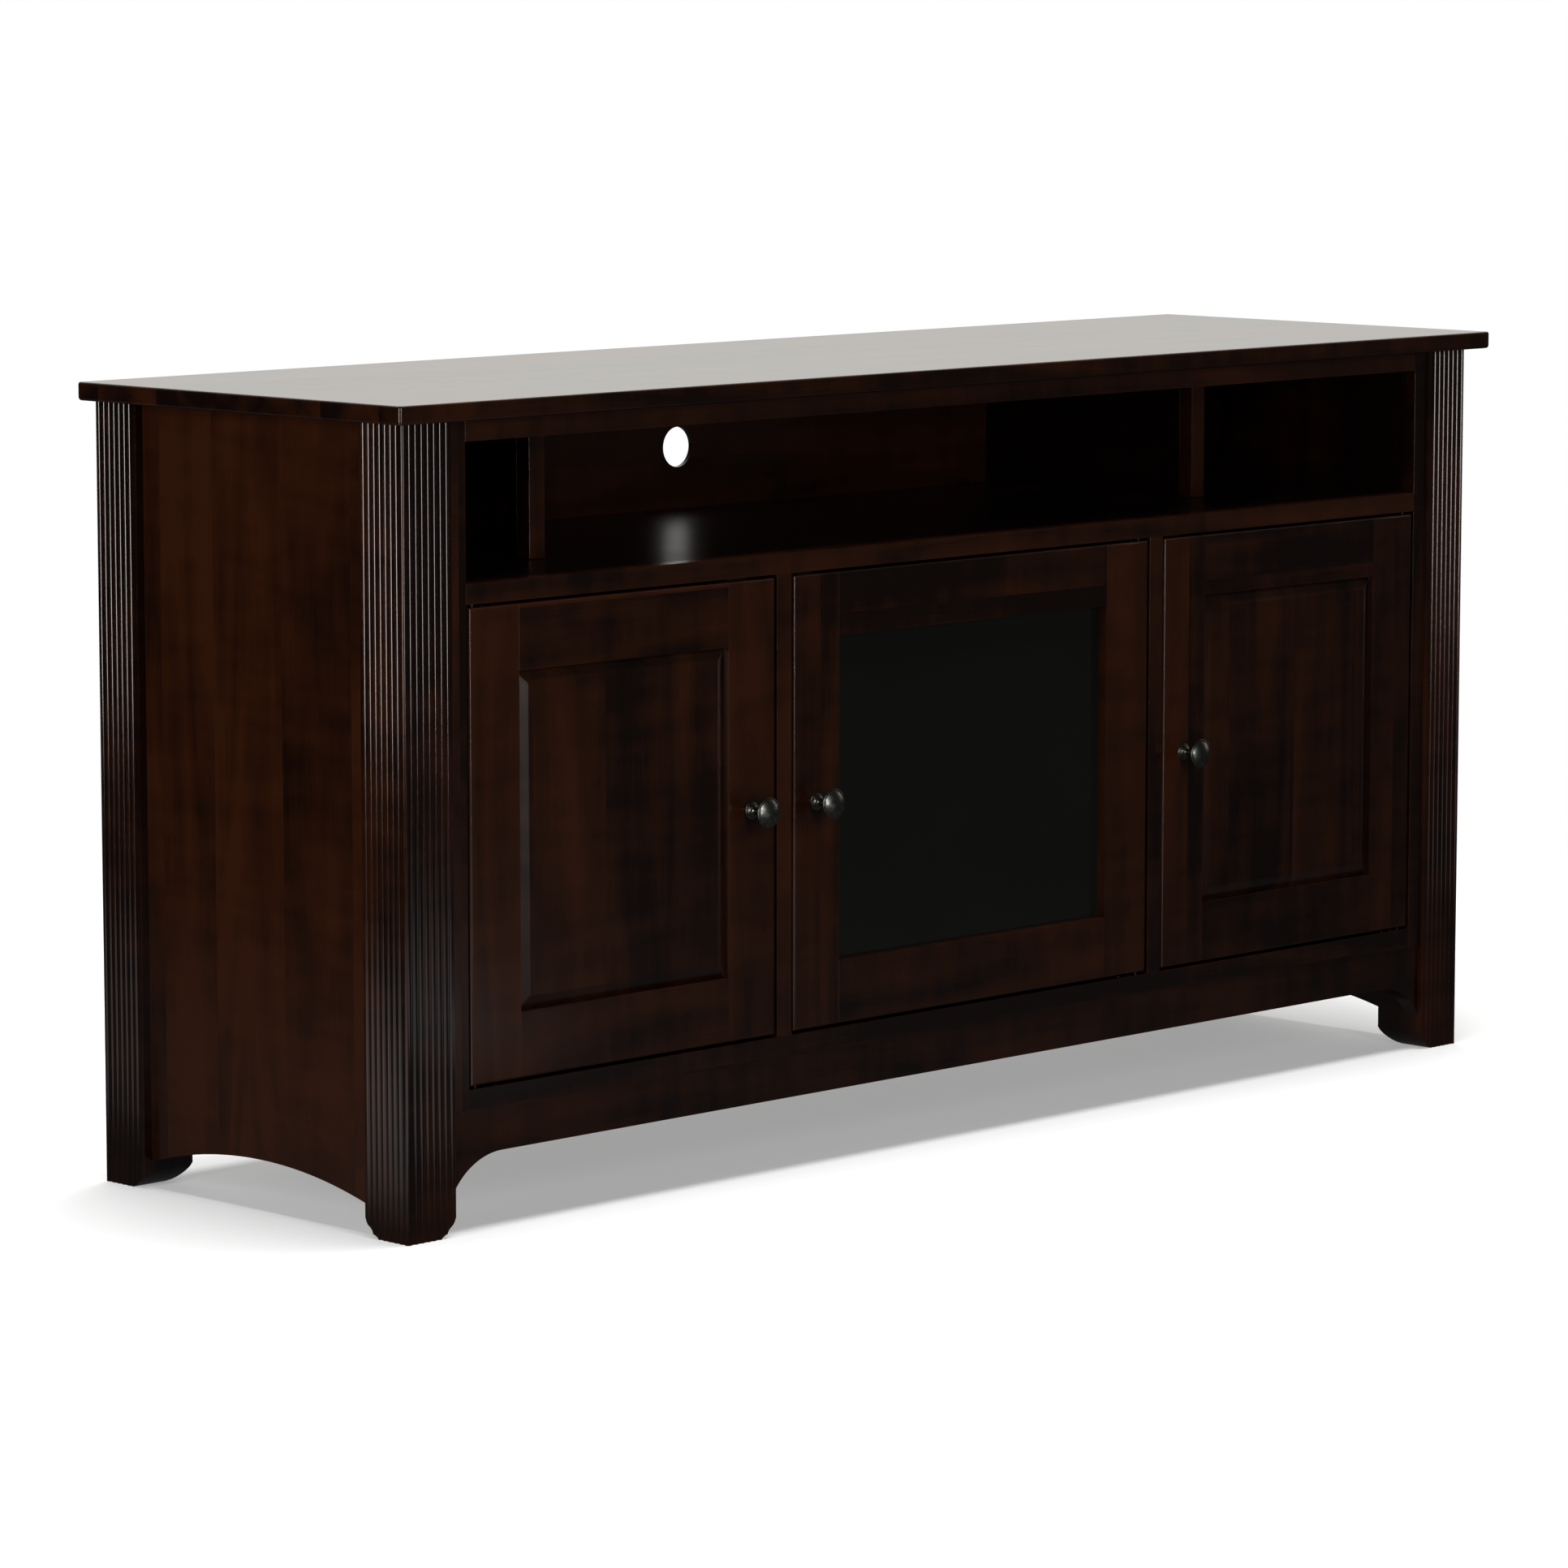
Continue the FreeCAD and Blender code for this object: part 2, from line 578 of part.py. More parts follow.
def make_rails(door, slot):
    """The two rails between the stiles, each with a stub tenon that fills the stiles' slot."""
    word, low, wide, _ = door
    setback, thick, deep = SLOTS[slot]
    between = f"({wide} - 2 * door_member_width)"
    x = f"({low} + door_member_width)"
    for role, z, outer, inner in (("top", f"({DOOR_TOP} - door_member_width)", "high", "low"),
                                  ("bottom", DOOR_BOTTOM, "low", "high")):
        name = f"{word}_door_{role}_rail"
        rail = door_member(name + "_blank", x, z, between, "door_member_width", (outer,), inner, slot)
        tenon_z = f"{z} + {deep}" if inner == "low" else z
        tenons = [box(f"{name}_{end}_tenon", start, f"{FRAME_FRONT} + {setback}", tenon_z,
                      deep, thick, f"door_member_width - {deep}")
                  for end, start in (("left", f"{x} - {deep}"), ("right", f"{x} + {between}"))]
        keep(name, fuse(name, [rail] + tenons))


# ---------------------------------------------------------------- what fills the door frames
def sight_opening(door):
    """Low X, low Z, width and height of the opening that the door's frame leaves."""
    _, low, wide, _ = door
    return (f"({low} + door_member_width)", f"({DOOR_BOTTOM} + door_member_width)",
            f"({wide} - 2 * door_member_width)", f"({DOOR_HEIGHT} - 2 * door_member_width)")


def make_raised_panel(door):
    """A tongued board with a shallow bevelled field, loose in its grooves so that it can swell."""
    x, z, wide, high = sight_opening(door)
    name = door[0] + "_door_panel"
    tongue = box(name + "_tongue", f"{x} - {LAP}", f"{FRAME_FRONT} + tongue_setback", f"{z} - {LAP}",
                 f"{wide} + 2 * {LAP}", "tongue_thickness", f"{high} + 2 * {LAP}")
    field = doc.addObject("Part::Wedge", name + "_field")
    place(field, x, f"{FRAME_FRONT} + field_setback", z)
    spans = {"Xmin": "bevel_width", "Zmin": "bevel_width", "Ymin": "0", "X2min": "0", "Z2min": "0",
             "Xmax": f"{wide} - bevel_width", "Zmax": f"{high} - bevel_width",
             "Ymax": "tongue_setback - field_setback", "X2max": wide, "Z2max": high}
    for prop, text in spans.items():
        bind(field, prop, text)
    keep(name, fuse(name, [tongue, field]))


def make_glazing(door):
    """A pane in the rebates, held from behind by four beads."""
    x, z, wide, high = sight_opening(door)
    word = door[0]
    board(word + "_door_glass", f"{x} - {GLASS_LAP}", f"{FRAME_FRONT} + glass_setback", f"{z} - {GLASS_LAP}",
          f"{wide} + 2 * {GLASS_LAP}", "glass_thickness", f"{high} + 2 * {GLASS_LAP}")
    y = f"{FRAME_FRONT} + glass_setback + glass_thickness"
    thick = "door_thickness - glass_setback - glass_thickness"
    bead = "rebate_width"
    beads = [box(f"{end}_bead", start, y, f"{z} - {bead}", bead, thick, f"{high} + 2 * {bead}")
             for end, start in (("left", f"{x} - {bead}"), ("right", f"{x} + {wide}"))]
    beads += [box(f"{end}_bead", x, y, start, wide, thick, bead)
              for end, start in (("low", f"{z} - {bead}"), ("high", f"{z} + {high}"))]
    keep(word + "_door_beads", group(word + "_door_beads", beads))


# ---------------------------------------------------------------- door hardware
def knob_profile():
    """Half of the knob's outline: X is the radius, and Y runs forwards from the door's face as -Y."""
    rim, neck, rosette = "(knob_diameter / 2)", "(knob_neck_diameter / 2)", "(rosette_diameter / 2)"
    dome_radius = f"(({rim}^2 + knob_dome_rise^2) / (2 * knob_dome_rise))"
    flare = f"({rim} - {neck})"
    flare_radius = f"(({flare}^2 + knob_flare_rise^2) / (2 * knob_flare_rise))"
    rim_front = "(knob_reach - knob_dome_rise)"
    rim_back = f"({rim_front} - knob_rim_thickness)"
    throat = f"({rim_back} - knob_flare_rise)"
    return [("0", "0"), ("0", "-knob_reach", dome_radius, 1), (rim, f"-{rim_front}"),
            (rim, f"-{rim_back}", flare_radius, -1), (neck, f"-{throat}"),
            (neck, "-(rosette_thickness + rosette_cove)"), (rosette, "-rosette_thickness"), (rosette, "0")]


def make_knob(door):
    """A turned mushroom knob, and the machine screw that holds it from inside the door."""
    name = door[0] + "_door_knob"
    x = from_edge(door, -door[3], "knob_inset")
    turned = body(name + "_turned", x, FRAME_FRONT, DOOR_MIDDLE)
    outline = sketch(turned, "XY_Plane", knob_profile())
    spin = turned.newObject("PartDesign::Revolution", name + "_revolution")
    spin.Profile = outline
    spin.ReferenceAxis = (outline, ["V_Axis"])
    spin.Angle = 360
    doc.recompute()
    grip = f"{FRAME_FRONT} - screw_grip"
    socket = rod(name + "_socket", x, grip, DOOR_MIDDLE, "screw_diameter / 2 + thread_room",
                 "2 * screw_grip", "y")
    keep(name, cut(name, turned, [socket]))
    shank = rod(name + "_shank", x, grip, DOOR_MIDDLE, "screw_diameter / 2",
                "screw_grip + door_thickness", "y")
    head = rod(name + "_head", x, DOOR_BACK, DOOR_MIDDLE, "screw_head_diameter / 2",
               "screw_head_thickness", "y")
    keep(name + "_screw", fuse(name + "_screw", [shank, head]))


def make_hinges():
    """Pivot hinges: pinned leaves let into the rails, and bushed leaves let into the hinge stiles' ends."""
    frame_leaves = []
    for door in DOORS:
        word = door[0]
        x, y = pivot_spot(door)
        levels = (("low", "floor_height - leaf_thickness", "floor_height - leaf_thickness", DOOR_BOTTOM),
                  ("high", DOOR_HEAD, f"{DOOR_HEAD} + leaf_thickness - {PIVOT_REACH}",
                   f"({DOOR_TOP} - leaf_thickness)"))
        door_leaves = []
        for level, frame_z, pin_z, door_z in levels:
            name = f"{word}_{level}"
            pin = rod(name + "_pin", x, y, pin_z, "pivot_diameter / 2", PIVOT_REACH, "z")
            plate = leaf(name + "_frame_plate", door, frame_z)
            frame_leaves.append(fuse(name + "_frame_leaf", [plate, pin]))
            bush = rod(name + "_bush", x, y, f"{door_z} - leaf_thickness",
                       "pivot_diameter / 2 + pivot_running_room", "3 * leaf_thickness", "z")
            door_leaves.append(cut(name + "_door_leaf", leaf(name + "_door_plate", door, door_z), [bush]))
        keep(word + "_door_hinge_plates", group(word + "_door_hinge_plates", door_leaves))
    keep("hinge_frame_plates", group("hinge_frame_plates", frame_leaves))


def make_catches():
    """A strike plate on the back of each door, and a catch that hangs from the fixed shelf to meet it."""
    strike_z = f"({DOOR_TOP} - strike_drop - strike_height)"
    catches = []
    for door in DOORS:
        word, free_edge = door[0], -door[3]
        strike_x = from_edge(door, free_edge, "(knob_inset - strike_length / 2)", "strike_length")
        board(word + "_door_strike", strike_x, DOOR_BACK, strike_z,
              "strike_length", f"{STRIKE_BACK} - {DOOR_BACK}", "strike_height")
        catch_x = from_edge(door, free_edge, "(knob_inset - catch_length / 2)", "catch_length")
        catches.append(box(word + "_catch", catch_x, f"{STRIKE_BACK} + catch_room", strike_z,
                           "catch_length", "catch_depth", f"{SHELF_UNDER} - {strike_z}"))
    keep("magnetic_catches", group("magnetic_catches", catches))


# ---------------------------------------------------------------- the whole cabinet
make_top()
for side_word, side_sign in SIDES:
    make_post(f"front_{side_word}_post", side_sign, -1)
    make_post(f"rear_{side_word}_post", side_sign, 1)
    make_side(side_word, side_sign)
    make_upright(side_word + "_inner_side", inward(side_sign, LINER_HALF, "board_thickness"),
                 APRON_TOP, CASE_TOP, (-side_sign,))
    make_upright(side_word + "_partition", inward(side_sign, PARTITION_HALF, "board_thickness"),
                 "floor_height", SHELF_UNDER, (-1, 1))
make_face_frame()
make_apron()
make_inner_boards()
make_bay_dividers()
make_back()
make_shelves()
for each_door in DOORS:
    filling = "glass" if each_door[0] == "centre" else "panel"
    make_stiles(each_door, filling)
    make_rails(each_door, filling)
    if filling == "glass":
        make_glazing(each_door)
    else:
        make_raised_panel(each_door)
    make_knob(each_door)
make_hinges()
make_catches()
doc.recompute()

# ---------------------------------------------------------------- checks, then one STEP file for each piece
for thing in doc.Objects:
    if "Invalid" in thing.State or "Error" in thing.State:
        raise RuntimeError(f"{thing.Name} did not build: {thing.State}")
    if thing.TypeId == "PartDesign::Pocket" and thing.Shape.Volume > thing.BaseFeature.Shape.Volume - 1:
        raise RuntimeError(f"{thing.Name} cut nothing")
for name, piece in pieces.items():
    if piece.Shape.isNull() or not piece.Shape.isValid():
        raise RuntimeError(f"{name} has no valid shape")
os.makedirs("parts", exist_ok=True)
for name, piece in pieces.items():
    piece.Shape.exportStep(f"parts/{name}.step")
print(f"{len(pieces)} pieces written")
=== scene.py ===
# %% [markdown]
# # A console television cabinet
# The real piece is a long, low cabinet of dark stained maple: four reeded posts, glued-up sides, an
# open bay above three doors, and a top that overhangs all round. The measured frame gives every part
# its place and size. These cells build what the eye sees around it, part by part, in metres, with
# +Z up, the doors facing -Y and the floor at Z = 0.

# %% The measured frame
import math
import random

import bmesh
import bpy
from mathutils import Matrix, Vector


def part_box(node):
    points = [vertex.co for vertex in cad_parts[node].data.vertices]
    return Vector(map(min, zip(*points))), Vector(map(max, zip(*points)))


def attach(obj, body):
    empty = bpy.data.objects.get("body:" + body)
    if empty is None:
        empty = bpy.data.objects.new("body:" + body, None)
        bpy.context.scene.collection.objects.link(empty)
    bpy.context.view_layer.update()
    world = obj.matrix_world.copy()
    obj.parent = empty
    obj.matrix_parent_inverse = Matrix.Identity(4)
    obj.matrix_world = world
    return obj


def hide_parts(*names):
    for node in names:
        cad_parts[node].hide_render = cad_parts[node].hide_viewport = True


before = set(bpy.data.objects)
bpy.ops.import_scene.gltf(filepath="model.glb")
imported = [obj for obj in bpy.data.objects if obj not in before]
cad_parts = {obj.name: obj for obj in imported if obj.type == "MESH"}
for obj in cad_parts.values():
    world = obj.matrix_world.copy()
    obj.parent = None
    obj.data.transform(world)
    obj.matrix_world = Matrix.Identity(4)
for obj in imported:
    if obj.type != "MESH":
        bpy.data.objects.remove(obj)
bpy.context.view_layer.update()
chance = random.Random(11)
scene = bpy.context.scene

# %% [markdown]
# ## The camera
# A long lens from far back keeps the verticals nearly upright and shows the left side and the front
# together. The eye is a little above the top, so the top is seen at a very low angle.

# %% Camera
bpy.ops.object.camera_add(location=(-4.8508, -4.7632, 1.2653),
                          rotation=(math.radians(82.412), 0, math.radians(-45.116)))
camera = bpy.context.object
camera.name = "studio_camera"
camera.data.lens = 144.75
camera.data.sensor_width = 36
scene.camera = camera
scene.view_settings.view_transform = "Standard"
print("camera stands", round(camera.location.length, 2), "m from the middle of the floor")

# %% [markdown]
# ## Nodes, written short
# Materials are graphs of nodes. These helpers keep them readable: one adds a node and fills its
# inputs, where a socket is linked and a plain value is set, one ramps a value smoothly, and the
# others make and place a node group, which is how one effect is shared by many materials.

# %% Helpers for nodes
FLOAT, VECTOR, COLOUR = "NodeSocketFloat", "NodeSocketVector", "NodeSocketColor"


def fill_inputs(tree, node, inputs):
    for socket, value in inputs.items():
        if isinstance(value, bpy.types.NodeSocket):
            tree.links.new(value, node.inputs[socket])
        else:
            node.inputs[socket].default_value = value


def add_node(tree, kind, inputs=None, **settings):
    made = tree.nodes.new("ShaderNode" + kind)
    for key, value in settings.items():
        setattr(made, key, value)
    fill_inputs(tree, made, inputs or {})
    return made


def smooth_ramp(tree, value, start, stop, low=0.0, high=1.0):
    """Go smoothly from low to high while the value goes from start to stop."""
    limits = {"From Min": start, "From Max": stop, "To Min": low, "To Max": high}
    ramp = add_node(tree, "MapRange", {"Value": value, **limits}, interpolation_type="SMOOTHSTEP")
    return ramp.outputs[0]


def start_group(name, inputs, outputs):
    tree = bpy.data.node_groups.new(name, "ShaderNodeTree")
    for label, kind, value in inputs:
        socket = tree.interface.new_socket(name=label, in_out="INPUT", socket_type=kind)
        if value is not None:
            socket.default_value = value
    for label, kind in outputs:
        tree.interface.new_socket(name=label, in_out="OUTPUT", socket_type=kind)
    return tree, tree.nodes.new("NodeGroupInput").outputs, tree.nodes.new("NodeGroupOutput").inputs


def put_out(tree, sockets, **results):
    for label, socket in results.items():
        tree.links.new(socket, sockets[label.replace("_", " ")])


def place_group(tree, group, inputs):
    made = tree.nodes.new("ShaderNodeGroup")
    made.node_tree = group
    fill_inputs(tree, made, inputs)
    return made.outputs


# %% [markdown]
# ## The studio
# The cabinet stands on a white sweep. Polished dark wood shows its surroundings, so what it mirrors
# matters more than how much light falls on it: a bright wall behind turns the top pale at a low
# angle, and a dim room in front keeps the doors dark. Light Path tells the rays apart, and only the
# stage uses it.

# %% World: white to the eye, a bright wall behind and a dim room in front to the lacquer
world = bpy.data.worlds.new("studio")
scene.world = world
world.use_nodes = True
sky = world.node_tree
sky.nodes.clear()
WALL_GLOW, ROOM_GLOW = 1.05, 0.03
WALL_SIDE = (0.707, 0.707, 0)
SKIRTING = 0.07
WALL_START, WALL_FULL = 0.2, 0.75
WARM_WHITE, PURE_WHITE = (1.0, 0.985, 0.94, 1), (1, 1, 1, 1)
direction = add_node(sky, "TexCoord").outputs["Generated"]
height = add_node(sky, "SeparateXYZ", {"Vector": direction}).outputs["Z"]
facing = add_node(sky, "VectorMath", {0: direction, 1: WALL_SIDE}, operation="DOT_PRODUCT")
above_floor = smooth_ramp(sky, height, 0.0, SKIRTING)
on_wall = smooth_ramp(sky, facing.outputs["Value"], WALL_START, WALL_FULL)
wall = add_node(sky, "Math", {0: above_floor, 1: on_wall}, operation="MULTIPLY")
glow = add_node(sky, "MapRange", {"Value": wall.outputs[0], "To Min": ROOM_GLOW, "To Max": WALL_GLOW})
room = add_node(sky, "Background", {"Color": WARM_WHITE, "Strength": glow.outputs[0]})
white = add_node(sky, "Background", {"Color": PURE_WHITE, "Strength": 1.0})
seen = add_node(sky, "LightPath").outputs["Is Camera Ray"]
either = add_node(sky, "MixShader", {0: seen, 1: room.outputs[0], 2: white.outputs[0]})
add_node(sky, "OutputWorld", {"Surface": either.outputs[0]})
print("world glow:", ROOM_GLOW, "to", WALL_GLOW)

# %% [markdown]
# ## Three lights
# A wide softbox overhead gives the shadow under the case. Two tall strips, one in front and one on the
# left, are the narrow lights that reeds and rounded edges catch. A polished top seen from above would
# mirror the overhead one and turn grey, so mirror rays don't see that light.

# %% Softboxes
def softbox(name, place, target, size, watts):
    """An area light of size (wide, high) at a place, turned towards a target."""
    bpy.ops.object.light_add(type="AREA", location=place)
    lamp = bpy.context.object
    lamp.name = name
    lamp.rotation_euler = (Vector(target) - Vector(place)).to_track_quat("-Z", "Y").to_euler()
    lamp.data.shape = "RECTANGLE"
    lamp.data.size, lamp.data.size_y = size
    lamp.data.energy = watts
    lamp.visible_camera = False
    return lamp


# Each row: name, place, target, width and height, power in watts
SOFTBOXES = [
    ("overhead_softbox", (0.0, -0.1, 3.6), (0.0, -0.1, 0.0), (2.4, 2.4), 260),
    ("front_strip", (-1.0, -3.9, 1.2), (0.0, -0.2, 0.6), (0.45, 2.3), 58),
    ("side_strip", (-4.0, -0.4, 1.2), (-0.8, 0.0, 0.6), (0.55, 2.3), 72),
]
lamps = {row[0]: softbox(*row) for row in SOFTBOXES}
lamps["overhead_softbox"].visible_glossy = False
print("softboxes:", list(lamps))

# %% [markdown]
# ## The floor
# To the eye the floor is a white sweep that takes a soft shadow. Every other ray meets a dim floor, so
# that the doors stay dark, with three brighter patches that only flutes and rounded edges are turned
# to mirror. A little glow of its own keeps the shadow from going black.

# %% Floor
FLOOR_SIZE = 60
FLOOR_WHITE, FLOOR_LIFT = 0.62, 0.30
SWEEP_START, SWEEP_FULL = 1.4, 2.4
LEFT_GLOW, MIDDLE_GLOW, RIGHT_GLOW = 0.010, 0.065, 0.035
PATCH_GLOW, PATCH_CORE = 0.66, 0.6
# Each row: the middle of a patch and its reach along X and Y
PATCHES = [((-1.5, -1.3, 0), (0.9, 1.1, 1)), ((-1.9, -0.3, 0), (1.1, 0.75, 1)),
           ((0.0, -2.0, 0), (0.35, 1.2, 1))]
bpy.ops.mesh.primitive_plane_add(size=FLOOR_SIZE, location=(0, 0, 0))
floor = bpy.context.object
floor.name = "studio_floor"
floor_paint = bpy.data.materials.new("white_sweep")
floor_paint.use_nodes = True
paint = floor_paint.node_tree
paint.nodes.clear()
lit = add_node(paint, "BsdfDiffuse", {"Color": (FLOOR_WHITE,) * 3 + (1,)})
lift = add_node(paint, "Emission", {"Color": PURE_WHITE, "Strength": FLOOR_LIFT})
near = add_node(paint, "AddShader", {0: lit.outputs[0], 1: lift.outputs[0]})
far = add_node(paint, "Emission", {"Color": PURE_WHITE, "Strength": 1.0})
spot = add_node(paint, "TexCoord").outputs["Object"]
away = add_node(paint, "VectorMath", {0: spot}, operation="LENGTH").outputs["Value"]
fade = smooth_ramp(paint, away, SWEEP_START, SWEEP_FULL)
shown = add_node(paint, "MixShader", {0: fade, 1: near.outputs[0], 2: far.outputs[0]})
sideways = add_node(paint, "SeparateXYZ", {"Vector": spot}).outputs["X"]
from_left = smooth_ramp(paint, sideways, -2.4, -1.2, LEFT_GLOW, MIDDLE_GLOW)
from_right = smooth_ramp(paint, sideways, 0.2, 1.7, MIDDLE_GLOW, RIGHT_GLOW)
glow_sum = add_node(paint, "Math", {0: from_left, 1: from_right}, operation="MINIMUM").outputs[0]
for centre, reach in PATCHES:
    offset = add_node(paint, "VectorMath", {0: spot, 1: centre}, operation="SUBTRACT")
    shrunk = add_node(paint, "VectorMath", {0: offset.outputs[0], 1: reach}, operation="DIVIDE")
    ring = add_node(paint, "VectorMath", {0: shrunk.outputs[0]}, operation="LENGTH").outputs["Value"]
    patch = smooth_ramp(paint, ring, 1.0, PATCH_CORE, 0.0, PATCH_GLOW)
    glow_sum = add_node(paint, "Math", {0: glow_sum, 1: patch}, operation="ADD").outputs[0]
dim = add_node(paint, "Emission", {"Color": PURE_WHITE, "Strength": glow_sum})
to_eye = add_node(paint, "LightPath").outputs["Is Camera Ray"]
choice = add_node(paint, "MixShader", {0: to_eye, 1: dim.outputs[0], 2: shown.outputs[0]})
add_node(paint, "OutputMaterial", {"Surface": choice.outputs[0]})
floor.data.materials.append(floor_paint)
print("floor patches that the lacquer mirrors:", len(PATCHES))

# %% [markdown]
# ## Wood, one effect at a time
# Maple shows faint flowing lines, cloudy patches where it drinks the stain, and fine fibres. A wide
# panel is several boards glued edge to edge, each of its own tone. Every effect is a group, and each
# works on coordinates where X runs along the grain and Y across the boards.

# %% Group: glued boards, each with its own tone and its own part of the pattern
boards, given, result = start_group(
    "glued boards", [("Vector", VECTOR, None), ("Board width", FLOAT, 0.09)],
    [("Vector", VECTOR), ("Tone", FLOAT)])
across = add_node(boards, "SeparateXYZ", {"Vector": given["Vector"]}).outputs["Y"]
counted = add_node(boards, "Math", {0: across, 1: given["Board width"]}, operation="DIVIDE")
board = add_node(boards, "TexVoronoi", {"W": counted.outputs[0], "Scale": 1.0, "Randomness": 0.45},
                 voronoi_dimensions="1D")
jump = add_node(boards, "VectorMath", {0: board.outputs["Color"], 1: (4.0, 3.0, 5.0)}, operation="MULTIPLY")
moved = add_node(boards, "VectorMath", {0: given["Vector"], 1: jump.outputs[0]}, operation="ADD")
tone = add_node(boards, "SeparateColor", {"Color": board.outputs["Color"]}).outputs["Red"]
put_out(boards, result, Vector=moved.outputs[0], Tone=tone)

# %% Group: the figure of maple
figure, given, result = start_group(
    "maple figure", [("Vector", VECTOR, None)], [("Lines", FLOAT), ("Cloud", FLOAT), ("Fibre", FLOAT)])


def stretched_noise(stretch, detail, roughness=0.5):
    scaled = add_node(figure, "VectorMath", {0: given["Vector"], 1: stretch}, operation="MULTIPLY")
    return add_node(figure, "TexNoise", {"Vector": scaled.outputs[0], "Scale": 1.0, "Detail": detail,
                                         "Roughness": roughness}).outputs["Fac"]


flow = stretched_noise((0.9, 8.0, 8.0), 2.0, 0.4)
many = add_node(figure, "Math", {0: flow, 1: 16.0}, operation="MULTIPLY")
lines = add_node(figure, "Math", {0: many.outputs[0], 1: 1.0}, operation="PINGPONG")
patches = stretched_noise((3.0, 9.0, 9.0), 4.0, 0.55)
curl = stretched_noise((42.0, 9.0, 9.0), 2.0)
clouds = add_node(figure, "Mix", {0: 0.3, 2: patches, 3: curl})
put_out(figure, result, Lines=lines.outputs[0], Cloud=clouds.outputs[0],
        Fibre=stretched_noise((9.0, 430.0, 430.0), 3.0))

# %% Group: dark stain, thinner where the wood drinks less
stain, given, result = start_group(
    "dark stain",
    [("Light", COLOUR, None), ("Dark", COLOUR, None), ("Tone", FLOAT, 0.5), ("Lines", FLOAT, 0.5),
     ("Cloud", FLOAT, 0.5), ("Fibre", FLOAT, 0.5), ("Shift", FLOAT, 0.0)], [("Color", COLOUR)])

WEIGHTS = {"Tone": 0.55, "Cloud": 2.6, "Lines": 0.36, "Fibre": 0.50}
DARKEST, LIGHTEST = 1.54, 2.54
share = given["Shift"]
for label, weight in WEIGHTS.items():
    added = add_node(stain, "Math", {0: given[label], 1: weight, 2: share}, operation="MULTIPLY_ADD")
    share = added.outputs[0]
level = add_node(stain, "MapRange", {"Value": share, "From Min": DARKEST, "From Max": LIGHTEST}).outputs[0]
colour = add_node(stain, "Mix", {0: level, 6: given["Dark"], 7: given["Light"]}, data_type="RGBA")
put_out(stain, result, Color=colour.outputs[2])

# %% Group: edges, where sanding and handling thin the stain and where wood takes a painted highlight
edges, given, result = start_group("rubbed edges and painted highlight", [("Width", FLOAT, 0.0015)], [("Mask", FLOAT)])
rounded = add_node(edges, "Bevel", {"Radius": given["Width"]}, samples=4)
straight = add_node(edges, "NewGeometry").outputs["Normal"]
same = add_node(edges, "VectorMath", {0: rounded.outputs[0], 1: straight}, operation="DOT_PRODUCT")
mask = add_node(edges, "MapRange", {"Value": same.outputs["Value"], "From Min": 0.995, "From Max": 0.85})
put_out(edges, result, Mask=mask.outputs[0])

# %% Group: a satin lacquer that follows the fibres a little
lacquer, given, result = start_group(
    "satin lacquer", [("Cloud", FLOAT, 0.5), ("Fibre", FLOAT, 0.5), ("Smooth", FLOAT, 0.26),
                      ("Rough", FLOAT, 0.36)], [("Roughness", FLOAT), ("Height", FLOAT)])
rough = add_node(lacquer, "MapRange", {"Value": given["Cloud"], "From Min": 0.3, "From Max": 0.7,
                                       "To Min": given["Smooth"], "To Max": given["Rough"]})
height = add_node(lacquer, "Math", {0: given["Fibre"], 1: 0.5}, operation="MULTIPLY")
put_out(lacquer, result, Roughness=rough.outputs[0], Height=height.outputs[0])
print("groups:", [g.name for g in bpy.data.node_groups])

# %% [markdown]
# ## Stained wood as a material
# A board's grain runs along its length, so the object's coordinates are put in the order along,
# across, through, and each material starts at its own place in the pattern, as each real board comes
# from its own place in a tree. A narrow piece is sawn from one board, wider than the piece.

# %% Stained wood
AXES = "XYZ"
LIGHT_STAIN, DARK_STAIN = (0.032, 0.0080, 0.0021, 1), (0.0045, 0.0014, 0.0006, 1)
# A lighter colour on rounded edges: partly stain thinned by sanding, and partly a painted highlight for the
# bright lines that reeds and arrises show.
RUBBED_AND_HIGHLIGHT_WOOD = (0.055, 0.022, 0.010, 1)
RUBBED_AND_HIGHLIGHT_WIDTH, RUBBED_AND_HIGHLIGHT_SHARE = 0.0016, 0.22
FAR_OFF = 8
ONE_BOARD = 0.2


